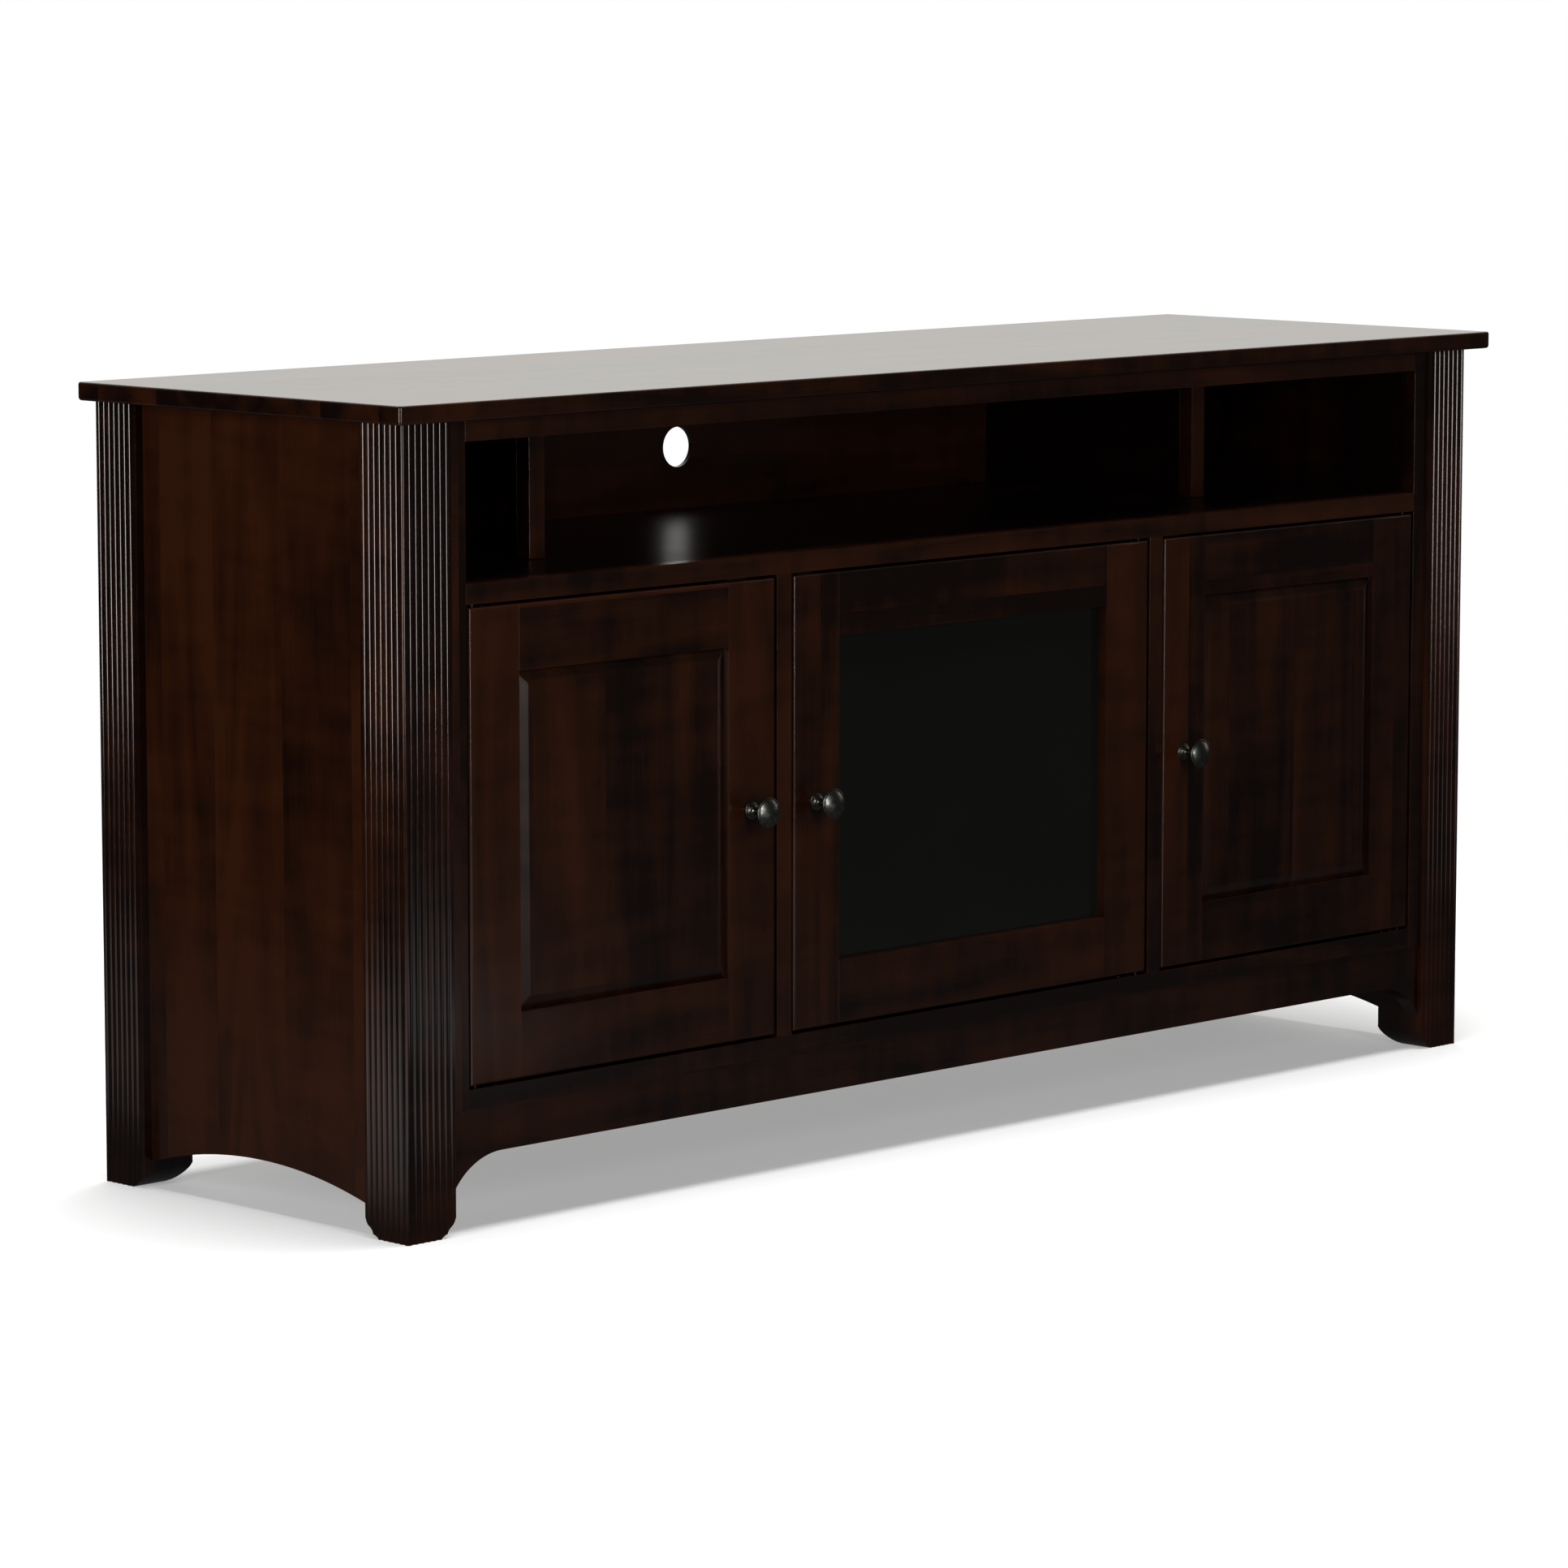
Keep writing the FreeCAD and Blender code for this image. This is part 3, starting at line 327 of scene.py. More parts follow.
def stained_wood(name, grain, wide, board_width=0.09, shift=0.0, smooth=0.17, rough=0.23, relief=0.15):
    made = bpy.data.materials.new(name)
    made.use_nodes = True
    tree = made.node_tree
    tree.nodes.clear()
    point = add_node(tree, "TexCoord").outputs["Object"]
    split = add_node(tree, "SeparateXYZ", {"Vector": point}).outputs
    through = next(axis for axis in AXES if axis not in (grain, wide))
    turned = add_node(tree, "CombineXYZ", {"X": split[grain], "Y": split[wide], "Z": split[through]})
    start = [chance.uniform(-FAR_OFF, FAR_OFF) for _ in AXES]
    placed = add_node(tree, "Mapping", {"Vector": turned.outputs[0], "Location": start})
    glued = place_group(tree, boards, {"Vector": placed.outputs[0], "Board width": board_width})
    maple = place_group(tree, figure, {"Vector": glued["Vector"]})
    looks = {label: maple[label] for label in ("Lines", "Cloud", "Fibre")}
    tint = place_group(tree, stain, {"Light": LIGHT_STAIN, "Dark": DARK_STAIN, "Tone": glued["Tone"],
                                     "Shift": shift, **looks})
    # Rounded edges turn lighter: partly thinned stain and partly a painted highlight.
    edge_mask = place_group(tree, edges, {"Width": RUBBED_AND_HIGHLIGHT_WIDTH})
    edge_share = add_node(tree, "Math", {0: edge_mask["Mask"], 1: RUBBED_AND_HIGHLIGHT_SHARE}, operation="MULTIPLY")
    stain_with_light_edges = add_node(tree, "Mix", {0: edge_share.outputs[0], 6: tint["Color"], 7: RUBBED_AND_HIGHLIGHT_WOOD}, data_type="RGBA")
    sheen = place_group(tree, lacquer, {"Cloud": maple["Cloud"], "Fibre": maple["Fibre"],
                                        "Smooth": smooth, "Rough": rough})
    bump = add_node(tree, "Bump", {"Height": sheen["Height"], "Strength": relief, "Distance": 0.0002})
    shader = add_node(tree, "BsdfPrincipled", {"Base Color": stain_with_light_edges.outputs[2], "Roughness": sheen["Roughness"],
                                               "Normal": bump.outputs[0], "IOR": 1.5})
    add_node(tree, "OutputMaterial", {"Surface": shader.outputs[0]})
    return made


# %% [markdown]
# ## Metal, glass and plastic
# The knobs are cast in a soft grey metal, darkened and then rubbed so that the high spots are
# brighter. Screws are plated with zinc and hinge leaves are dark bronze. The glass is dyed nearly black
# and hides what stands behind it, and the catches are ribbed brown plastic.

# %% Group: patches of tarnish
tarnish, given, result = start_group(
    "tarnish", [("Scale", FLOAT, 300.0), ("Bright", COLOUR, None), ("Dull", COLOUR, None)],
    [("Color", COLOUR), ("Patch", FLOAT)])
place = add_node(tarnish, "TexCoord").outputs["Object"]
spots = add_node(tarnish, "TexNoise", {"Vector": place, "Scale": given["Scale"], "Detail": 5.0,
                                       "Roughness": 0.6}).outputs["Fac"]
patch = add_node(tarnish, "MapRange", {"Value": spots, "From Min": 0.38, "From Max": 0.62}).outputs[0]
mixed = add_node(tarnish, "Mix", {0: patch, 6: given["Dull"], 7: given["Bright"]}, data_type="RGBA")
put_out(tarnish, result, Color=mixed.outputs[2], Patch=patch)


# %% Metal, glass and plastic materials
def metal(name, bright, dull, scale, smooth, rough, metallic=1.0):
    made = bpy.data.materials.new(name)
    made.use_nodes = True
    tree = made.node_tree
    tree.nodes.clear()
    aged = place_group(tree, tarnish, {"Scale": scale, "Bright": bright + (1,), "Dull": dull + (1,)})
    edge_mask = place_group(tree, edges, {"Width": 0.0006})
    edge_share = add_node(tree, "Math", {0: edge_mask["Mask"], 1: 0.5}, operation="MULTIPLY")
    high = add_node(tree, "Mix", {0: edge_share.outputs[0], 6: aged["Color"], 7: bright + (1,)}, data_type="RGBA")
    rough_at = add_node(tree, "MapRange", {"Value": aged["Patch"], "To Min": rough, "To Max": smooth})
    bump = add_node(tree, "Bump", {"Height": aged["Patch"], "Strength": 0.15, "Distance": 0.0001})
    shader = add_node(tree, "BsdfPrincipled", {"Base Color": high.outputs[2], "Metallic": metallic,
                                               "Roughness": rough_at.outputs[0], "Normal": bump.outputs[0]})
    add_node(tree, "OutputMaterial", {"Surface": shader.outputs[0]})
    return made


pewter = metal("aged_pewter", (0.18, 0.18, 0.158), (0.060, 0.063, 0.055), 260, 0.24, 0.38)
zinc = metal("zinc_plate", (0.62, 0.62, 0.60), (0.42, 0.42, 0.40), 500, 0.25, 0.4)
bronze = metal("dark_bronze", (0.050, 0.040, 0.032), (0.022, 0.018, 0.015), 220, 0.35, 0.5)
plastic = metal("catch_plastic", (0.050, 0.035, 0.030), (0.034, 0.024, 0.020), 900, 0.4, 0.55, 0.0)
glass = metal("smoked_glass", (0.0062, 0.0063, 0.0054), (0.0050, 0.0051, 0.0044), 3, 0.10, 0.14, 0.0)
print("materials so far:", [m.name for m in bpy.data.materials])

# %% [markdown]
# ## Working like a joiner
# A few helpers do what hands do at the bench: saw a board to size, cut into it with another shape,
# soften its arrises, and turn a profile on a lathe. An operator acts on all that is selected, so
# each helper first clears the selection. The last helper sets the shading, gives the material and
# says which body of the frame the piece rides on.

# %% Helpers: selecting, boards and rods
SMOOTH_ANGLE = math.radians(32)


def only(piece):
    """Select this object alone and make it the active one."""
    for other in bpy.context.selected_objects:
        other.select_set(False)
    bpy.context.view_layer.objects.active = piece
    piece.select_set(True)
    return piece


def clear_selection():
    bpy.ops.object.select_all(action="DESELECT")
    bpy.context.view_layer.objects.active = None


def settle(name):
    """Name the new object and put its place and size into its mesh."""
    piece = bpy.context.object
    piece.name = piece.data.name = name
    bpy.ops.object.transform_apply(location=True, rotation=True, scale=True)
    return piece


def saw_board(name, low, high):
    low, high = Vector(low), Vector(high)
    clear_selection()
    bpy.ops.mesh.primitive_cube_add(size=1, location=(low + high) / 2, scale=high - low)
    return settle(name)


LYING = {"X": (0, math.pi / 2, 0), "Y": (math.pi / 2, 0, 0), "Z": (0, 0, 0)}


def make_rod(name, middle, radius, length, along, sides=48):
    clear_selection()
    bpy.ops.mesh.primitive_cylinder_add(vertices=sides, radius=radius, depth=length, location=middle,
                                        rotation=LYING[along])
    return settle(name)


# %% Helpers: cutting, joining and softening
def apply_modifier(piece, kind, **settings):
    only(piece)
    modifier = piece.modifiers.new(kind.lower(), kind)
    for key, value in settings.items():
        setattr(modifier, key, value)
    bpy.ops.object.modifier_apply(modifier=modifier.name)


def combine(piece, tool, operation="DIFFERENCE"):
    apply_modifier(piece, "BOOLEAN", operation=operation, object=tool, solver="EXACT")
    bpy.data.objects.remove(tool)


def soften(piece, width, segments=2, angle=30):
    apply_modifier(piece, "BEVEL", width=width, segments=segments, limit_method="ANGLE",
                   angle_limit=math.radians(angle))


def in_edit(piece, mode="EDGE"):
    """Open the mesh for editing with nothing selected."""
    only(piece)
    bpy.ops.object.mode_set(mode="EDIT")
    bpy.ops.mesh.select_mode(type=mode)
    bpy.ops.mesh.select_all(action="DESELECT")
    return bmesh.from_edit_mesh(piece.data)


def pick(piece, mesh, elements, test):
    """Select the edges or faces that pass the test."""
    for element in elements:
        if test(element):
            element.select = True
    mesh.select_flush_mode()
    bmesh.update_edit_mesh(piece.data)


def edge_middle(edge):
    return (edge.verts[0].co + edge.verts[1].co) / 2


def round_edges(piece, test, width, segments=4, profile=0.5):
    """Round the edges whose middle passes the test."""
    mesh = in_edit(piece)
    pick(piece, mesh, mesh.edges, lambda edge: test(edge_middle(edge)))
    bpy.ops.mesh.bevel(offset=width, segments=segments, profile=profile, affect="EDGES")
    bpy.ops.object.mode_set(mode="OBJECT")


def is_at(value, place, slack=1e-5):
    return abs(value - place) < slack


def add_to(piece, extra):
    """Join another shape into a piece."""
    only(piece)
    extra.select_set(True)
    bpy.ops.object.join()


def join_all(shapes, name):
    """Join shapes into the first of them and name it."""
    whole = shapes[0]
    whole.name = name
    for shape in shapes[1:]:
        add_to(whole, shape)
    return whole


# %% Helpers: a welded copy of a measured part, and a turned shape
def copy_part(node, name):
    """Start from the measured part where its joints matter: its triangles are welded into faces."""
    clear_selection()
    piece = bpy.data.objects.new(name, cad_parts[node].data.copy())
    scene.collection.objects.link(piece)
    piece.data.materials.clear()
    only(piece)
    if piece.data.has_custom_normals:
        bpy.ops.mesh.customdata_custom_splitnormals_clear()
    in_edit(piece, "VERT")
    bpy.ops.mesh.select_all(action="SELECT")
    bpy.ops.mesh.remove_doubles(threshold=0.00002)
    bpy.ops.mesh.dissolve_limited(angle_limit=math.radians(1))
    bpy.ops.object.mode_set(mode="OBJECT")
    return piece


def turn_profile(name, centre, profile, steps=64):
    """Turn a profile of (radius, forwards) points, where forwards is towards -Y, about a Y axis."""
    clear_selection()
    bpy.ops.mesh.primitive_plane_add(size=0.001, location=(0, 0, 0))
    piece = settle(name)
    in_edit(piece, "VERT")
    bpy.ops.mesh.select_all(action="SELECT")
    bpy.ops.mesh.merge(type="CENTER")
    points = [Vector(centre) + Vector((radius, -forwards, 0)) for radius, forwards in profile]
    bpy.ops.transform.translate(value=points[0])
    for start, stop in zip(points, points[1:]):
        bpy.ops.mesh.extrude_vertices_move(TRANSFORM_OT_translate={"value": stop - start})
    bpy.ops.mesh.select_all(action="SELECT")
    bpy.ops.mesh.spin(steps=steps, angle=2 * math.pi, center=centre, axis=(0, 1, 0))
    bpy.ops.mesh.select_all(action="SELECT")
    bpy.ops.mesh.remove_doubles(threshold=0.00001)
    bpy.ops.mesh.normals_make_consistent(inside=False)
    bpy.ops.object.mode_set(mode="OBJECT")
    return piece


def arc(centre, radius, start, stop, steps):
    """Points of (radius, forwards) round part of a circle, with angles in degrees."""
    turns = [math.radians(start + (stop - start) * i / steps) for i in range(steps + 1)]
    return [(centre[0] + radius * math.cos(a), centre[1] + radius * math.sin(a)) for a in turns]


def arc_radius(half_width, rise):
    """The radius of an arc that rises this far over this half of its width."""
    return (half_width ** 2 + rise ** 2) / (2 * rise)


# %% Helper: finish a piece
made_pieces = []


def finish_piece(piece, material, stands_for=(), body="cabinet"):
    only(piece)
    bpy.ops.object.shade_smooth_by_angle(angle=SMOOTH_ANGLE)
    apply_modifier(piece, "WEIGHTED_NORMAL", keep_sharp=True)
    piece.data.materials.clear()
    piece.data.materials.append(material)
    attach(piece, body)
    if stands_for:
        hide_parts(*stands_for)
    made_pieces.append(piece)
    return piece


# %% [markdown]
# ## The top
# The top is one wide panel of boards glued edge to edge. Its corners are eased first and then its
# long arrises, a little more below than above, so that the overhang is kind to hands.

# %% Top
TOP_CORNER, TOP_UPPER_EDGE, TOP_LOWER_EDGE = 0.003, 0.0024, 0.0035
low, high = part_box("top_panel")
top = saw_board("top_board", low, high)
round_edges(top, lambda mid: is_at(mid.z, (low.z + high.z) / 2), TOP_CORNER, 5)
round_edges(top, lambda mid: is_at(mid.z, high.z), TOP_UPPER_EDGE, 3)
round_edges(top, lambda mid: is_at(mid.z, low.z), TOP_LOWER_EDGE, 4)
top_maple = stained_wood("top_maple", "X", "Y", 0.085, shift=-0.3, smooth=0.18, rough=0.20, relief=0.02)
finish_piece(top, top_maple, ["top_panel"])
print("top:", len(top.data.polygons), "faces")

# %% [markdown]
# ## Reeded posts
# Each post is square, with seven shallow flutes along its outer faces that leave narrow reeds. A
# moulding cutter makes them on the real piece, one pass each. Here a long rod takes the cutter's
# place: copies of it stand at every second flute, so that no two overlap, and two passes cut them all.

# %% Reeded posts
FLUTES, FLUTE_PITCH, FLUTE_DEPTH, REED_FLAT = 7, 0.008, 0.0015, 0.0008
half_flute = (FLUTE_PITCH - REED_FLAT) / 2
cutter_radius = arc_radius(half_flute, FLUTE_DEPTH)
FOOT, FOOT_SHAPE, POST_CORNER = 0.020, 0.36, 0.0025
PAST_THE_ENDS = 1.2


def flute_face(post, corner, step, into, height):
    """Cut a face's flutes. corner is the outer corner, and step and into are directions."""
    for first in (1, 2):
        start = corner + step * FLUTE_PITCH * first - into * (cutter_radius - FLUTE_DEPTH)
        start.z = height / 2
        cutter = make_rod("flute_cutter", start, cutter_radius, height * PAST_THE_ENDS, "Z", 96)
        count = len(range(first, FLUTES + 1, 2))
        apply_modifier(cutter, "ARRAY", count=count, use_relative_offset=False, use_constant_offset=True,
                       constant_offset_displace=step * FLUTE_PITCH * 2)
        combine(post, cutter)


for end, front in (("front", True), ("rear", False)):
    for side, sign in (("left", -1), ("right", 1)):
        node = f"{end}_{side}_post"
        low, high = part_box(node)
        post = saw_board(f"{end}_{side}_reeded_post", low, high)
        outer_x, inner_x = (low.x, high.x) if sign < 0 else (high.x, low.x)
        outer_y, inner_y = (low.y, high.y) if front else (high.y, low.y)
        round_edges(post, lambda mid: is_at(mid.z, low.z) and (is_at(mid.x, inner_x)
                                                               or is_at(mid.y, inner_y)), FOOT, 6, FOOT_SHAPE)
        round_edges(post, lambda mid: is_at(mid.x, outer_x) and is_at(mid.y, outer_y), POST_CORNER)
        corner = Vector((outer_x, outer_y, 0))
        inwards = Vector((-sign, 0, 0))
        backwards = Vector((0, 1 if front else -1, 0))
        flute_face(post, corner, backwards, inwards, high.z)
        if front:
            flute_face(post, corner, inwards, backwards, high.z)
        soften(post, 0.0002)
        wood = stained_wood(f"{end}_{side}_post_maple", "Z", "X", ONE_BOARD, shift=-0.1,
                            smooth=0.09, rough=0.13, relief=0.0)
        finish_piece(post, wood, [node])
        print(post.name, len(post.data.polygons), "faces")

# %% [markdown]
# ## Sides and apron
# The sides are glued-up panels set back from the posts, with a long low arch at the foot. The apron
# is straight along the middle and drops in a hollow curve beside each post. Both outlines are sawn
# with a template on the real piece, and here rods and a block cut them.

# %% Side panels
ARCH_RISE, CUTTER_LENGTH = 0.025, 0.1
for side, shift in (("left", 0.12), ("right", 0.05)):
    low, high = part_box(f"{side}_side_panel")
    panel = saw_board(f"{side}_glued_side", low, high)
    radius = arc_radius((high.y - low.y) / 2, ARCH_RISE)
    middle = ((low.x + high.x) / 2, (low.y + high.y) / 2, low.z + ARCH_RISE - radius)
    combine(panel, make_rod("arch_cutter", middle, radius, CUTTER_LENGTH, "X", 640))
    soften(panel, 0.0008, angle=40)
    wood = stained_wood(f"{side}_side_maple", "Z", "Y", 0.10, shift)
    finish_piece(panel, wood, [f"{side}_side_panel"])
    print(panel.name, "arch radius", round(radius, 4), "m")

# %% Apron
BRACKET, DROP, CLEAR = 0.0665, 0.037, 0.01
low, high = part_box("front_apron")
spring = high.x - BRACKET
radius = arc_radius(BRACKET, DROP)
apron = saw_board("bracketed_apron", low, high)
cutter_low = (-spring, low.y - CLEAR, low.z - CLEAR)
cutter_high = (spring, high.y + CLEAR, low.z + DROP)
combine(apron, saw_board("apron_cutter", cutter_low, cutter_high))
for sign in (-1, 1):
    middle = (sign * spring, (low.y + high.y) / 2, low.z + DROP - radius)
    combine(apron, make_rod("bracket_cutter", middle, radius, CUTTER_LENGTH, "Y", 128))
soften(apron, 0.0006, angle=40)
wood = stained_wood("apron_maple", "X", "Z", ONE_BOARD, -0.32)
finish_piece(apron, wood, ["front_apron"])
print("apron:", len(apron.data.polygons), "faces")

# %% [markdown]
# ## Boards that keep their joints
# The face frame, the inner boards and the door frames hold grooves, tenons, hinge recesses and pin
# holes that were measured with care. Each starts as a welded copy of its measured part, so that the
# joints stay true, and its arrises are then sanded round. The floor of the open bay has a duller and
# flatter lacquer than the other boards, which spreads the light that comes in at the cable hole.

# %% Face frame and inner boards
# Each row: measured part, name of the piece, grain, direction across the boards, board width, shift of
# tone, softening, and the slot of its finish
CARCASE = [
    ("left_frame_stile", "left_frame_upright", "Z", "X", 0.2, -0.10, 0.0004, "stained_wood"),
    ("right_frame_stile", "right_frame_upright", "Z", "X", 0.2, -0.14, 0.0004, "stained_wood"),
    ("frame_top_rail", "upper_frame_rail", "X", "Z", 0.2, -0.24, 0.0004, "stained_wood"),
    ("frame_middle_rail", "middle_frame_rail_board", "X", "Z", 0.2, -0.05, 0.0004, "stained_wood"),
    ("frame_bottom_rail", "lower_frame_rail", "X", "Z", 0.2, -0.32, 0.0004, "stained_wood"),
    ("left_mullion", "left_door_post", "Z", "X", 0.2, -0.06, 0.0004, "stained_wood"),
    ("right_mullion", "right_door_post", "Z", "X", 0.2, -0.12, 0.0004, "stained_wood"),
    ("left_divider_nosing", "left_nosing_strip", "Z", "X", 0.2, 0.0, 0.0020, "stained_wood"),
    ("right_divider_nosing", "right_nosing_strip", "Z", "X", 0.2, 0.0, 0.0020, "stained_wood"),
    ("left_bay_divider", "left_bay_wall", "Y", "Z", 0.3, -0.30, 0.0004, "inner_boards"),
    ("right_bay_divider", "right_bay_wall", "Y", "Z", 0.3, -0.30, 0.0004, "inner_boards"),
    ("left_inner_side", "left_inner_wall", "Z", "Y", 0.3, -0.25, 0.0003, "inner_boards"),
    # The right inner wall is stained darker than the other inner walls: painted shade for the dark right end
    # of the open bay.
    ("right_inner_side", "right_inner_wall", "Z", "Y", 0.3, -0.45, 0.0003, "inner_boards"),
    ("left_partition", "left_partition_wall", "Z", "Y", 0.3, -0.25, 0.0003, "inner_boards"),
    ("right_partition", "right_partition_wall", "Z", "Y", 0.3, -0.25, 0.0003, "inner_boards"),
    ("cabinet_floor", "floor_board", "X", "Y", 0.3, -0.2, 0.0004, "inner_boards"),
    ("fixed_shelf", "bay_floor_board", "X", "Y", 0.3, -0.35, 0.0004, "inner_boards"),
    ("left_shelf", "left_loose_shelf", "X", "Y", 0.3, -0.2, 0.0012, "inner_boards"),
    ("centre_shelf", "centre_loose_shelf", "X", "Y", 0.3, -0.2, 0.0012, "inner_boards"),
    ("right_shelf", "right_loose_shelf", "X", "Y", 0.3, -0.2, 0.0012, "inner_boards"),
    ("back_panel", "back_sheet", "X", "Z", 0.4, 0.35, 0.0004, "back_board"),
]
BAY_FLOOR_GLOSS, BOARD_GLOSS = (0.27, 0.31, 0.02), (0.18, 0.26, 0.15)
for node, name, grain, wide, board_width, shift, arris, slot in CARCASE:
    piece = copy_part(node, name)
    soften(piece, arris, angle=40)
    gloss = BAY_FLOOR_GLOSS if node == "fixed_shelf" else BOARD_GLOSS
    wood = stained_wood(name + "_wood", grain, wide, board_width, shift, *gloss)
    finish_piece(piece, wood, [node])
print(len(CARCASE), "carcase boards finished")

# %% [markdown]
# ## Doors
# A door's stiles run its full height and its rails fit between them. The outer edges are rounded and
# the inner ones only eased. Stiles and rails come from different boards, which is why their tones
# differ.

# %% Door frames
DOORS = ("left", "centre", "right")
# Tone of the stile with the hinges, the stile with the knob, the upper rail and the lower rail
DOOR_TONES = {"left": (0.20, 0.02, 0.04, -0.02), "centre": (0.0, 0.20, -0.16, 0.02),
              "right": (-0.02, -0.08, 0.0, -0.02)}
for door in DOORS:
    body = f"{door}_door"
    members = zip(("hinge_stile", "knob_stile", "top_rail", "bottom_rail"), "ZZXX", "XXZZ", DOOR_TONES[door])
    for member, grain, wide, shift in members:
        node = f"{door}_door_{member}"
        piece = copy_part(node, node + "_board")
        soften(piece, 0.0006, angle=40)
        wood = stained_wood(node + "_maple", grain, wide, ONE_BOARD, shift)
        finish_piece(piece, wood, [node], body)

# %% [markdown]
# ## Raised panels
# Each outer door holds a panel that floats in its grooves. Its edge is thin enough to fit them, and a
# wide bevel climbs to a flat field that stands just behind the face of the door. The tongue is sawn
# first, then one inset marks the opening and a second marks the field, which is moved forwards.

# %% Raised panels
TONGUE_LAP, BEVEL_WIDTH, TONGUE = 0.008, 0.014, 0.006
for door in ("left", "right"):
    node = f"{door}_door_panel"
    low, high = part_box(node)
    front = high.y - TONGUE
    panel = saw_board(f"{door}_raised_panel", (low.x, front, low.z), high)
    mesh = in_edit(panel, "FACE")
    pick(panel, mesh, mesh.faces, lambda face: face.normal.y < -0.9)
    bpy.ops.mesh.inset(thickness=TONGUE_LAP, depth=0)
    bpy.ops.mesh.inset(thickness=BEVEL_WIDTH, depth=0)
    bpy.ops.transform.translate(value=(0, low.y - front, 0))
    bpy.ops.object.mode_set(mode="OBJECT")
    soften(panel, 0.0005, 2, 15)
    wood = stained_wood(node + "_maple", "Z", "X", 0.11, -0.12)
    finish_piece(panel, wood, [node], f"{door}_door")
    print(panel.name, "field moved forwards", round(front - low.y, 4), "m")

# %% [markdown]
# ## Glass
# The middle door has a pane of dark glass, set in a rebate and held from behind by four beads.

# %% Glass and beads
low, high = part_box("centre_door_glass")
pane = saw_board("dark_pane", low, high)
soften(pane, 0.0006)
finish_piece(pane, glass, ["centre_door_glass"], "centre_door")
beads = copy_part("centre_door_beads", "glazing_beads")
soften(beads, 0.0012, 3, 40)
wood = stained_wood("bead_maple", "X", "Z", ONE_BOARD, -0.1)
finish_piece(beads, wood, ["centre_door_beads"], "centre_door")
print("pane:", [round(v, 3) for v in high - low], "m")

# %% [markdown]
# ## Knobs
# A mushroom knob is a turned shape: a small stepped rosette against the door, a hollow neck, a flare
# to a beaded rim, and a low dome. The profile is a chain of arcs, and turning it once round an axis
# makes the knob. One knob is turned for each door, with its own mesh.

# %% Knobs
KNOB_RADIUS, KNOB_LENGTH, RIM, NECK, DOME_RISE = 0.015875, 0.0299, 0.0012, 0.0042, 0.0041
# The rosette: two rounded steps
profile = [(0.0, 0.0), (0.0090, 0.0)] + arc((0.0083, 0.0008), 0.0007, -60, 80, 6)
profile += [(0.0074, 0.0017), (0.0072, 0.0021)] + arc((0.0062, 0.0023), 0.0007, 0, 90, 4)
# The neck, hollow and then straight
profile += arc((0.0072, 0.0070), 0.0036, 250, 150, 12)
profile += arc((NECK + 0.0008, 0.0150), 0.0011, 190, 160, 4)[1:]
# The flare, the beaded rim and the dome
profile += arc((NECK, 0.0248), 0.0088, -86, -12, 10)[3:]
profile += arc((KNOB_RADIUS - RIM, 0.0247), RIM, -70, 80, 8)
dome_half = KNOB_RADIUS - 2 * RIM
dome_radius = arc_radius(dome_half, DOME_RISE)
spread = math.degrees(math.asin(dome_half / dome_radius))
profile += arc((0.0, KNOB_LENGTH - dome_radius), dome_radius, 90 - spread, 90, 14)
for door in DOORS:
    low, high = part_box(f"{door}_door_knob")
    centre = ((low.x + high.x) / 2, high.y, (low.z + high.z) / 2)
    knob = turn_profile(f"{door}_turned_knob", centre, profile)
    finish_piece(knob, pewter, [f"{door}_door_knob"], f"{door}_door")
print("knob profile points:", len(profile))

# %% [markdown]
# ## Screws
# Each knob is held from inside by a machine screw with a low rounded head and a cross recess. The
# same head, on a smaller screw, holds the back, so the head is turned once as a profile and the
# cross is cut with two thin blocks.

# %% Screws
CROSS_ARM, CROSS_REACH = 0.28, 0.45


def rounded_head(radius, rise):
    """Half the outline of a head that faces backwards, from its middle to the surface it bears on."""
    curve = arc_radius(radius, rise)
    spread = math.degrees(math.asin(radius / curve))
    return [(across, -up) for across, up in arc((0.0, rise - curve), curve, 90, 90 - spread, 6)]


def cut_cross(piece, outermost, reach, depth):
    """Cut a cross recess forwards into a head, from a point just outside it."""
    thin = reach * CROSS_ARM
    for wide, tall in ((reach, thin), (thin, reach)):
        low = outermost - Vector((wide, depth, tall))
        high = outermost + Vector((wide, 0, tall))
        combine(piece, saw_board("cross_cutter", low, high))


SHANK, SHANK_END, HEAD_RISE = 0.002, 0.0005, 0.0022
for door in DOORS:
    node = f"{door}_door_knob_screw"
    low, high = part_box(node)
    head_radius = (high.x - low.x) / 2
    length = high.y - HEAD_RISE - low.y
    centre = Vector(((low.x + high.x) / 2, high.y - HEAD_RISE, (low.z + high.z) / 2))
    outline = rounded_head(head_radius, HEAD_RISE)
    outline += [(SHANK, 0.0), (SHANK, length - SHANK_END), (SHANK - SHANK_END, length), (0.0, length)]
    screw = turn_profile(f"{door}_knob_machine_screw", centre, outline, steps=32)
    outermost = centre + Vector((0, HEAD_RISE + 0.0001, 0))
    cut_cross(screw, outermost, head_radius * CROSS_REACH, 0.0013)
    finish_piece(screw, zinc, [node], f"{door}_door")
print("screw length", round(high.y - low.y, 4), "m")

# %% [markdown]
# ## Hinge leaves
# Each door swings on two pivots near its outer corner. A thin leaf with a fixed pin is let into the
# frame, and a leaf with a hole for the pin is let into the end of the door's stile. The leaves are
# copies of the measured parts, so the pins stay true to the joints, and two countersunk screws hold each.

# %% Hinge leaves and their screws
HEAD_RADIUS, HEAD_THICKNESS, HEAD_PROUD = 0.0020, 0.0008, 0.0002
SLOT_REACH, SLOT_HALF_WIDTH, SLOT_FLOOR, SLOT_MOUTH = 0.0016, 0.0003, 0.0003, 0.002


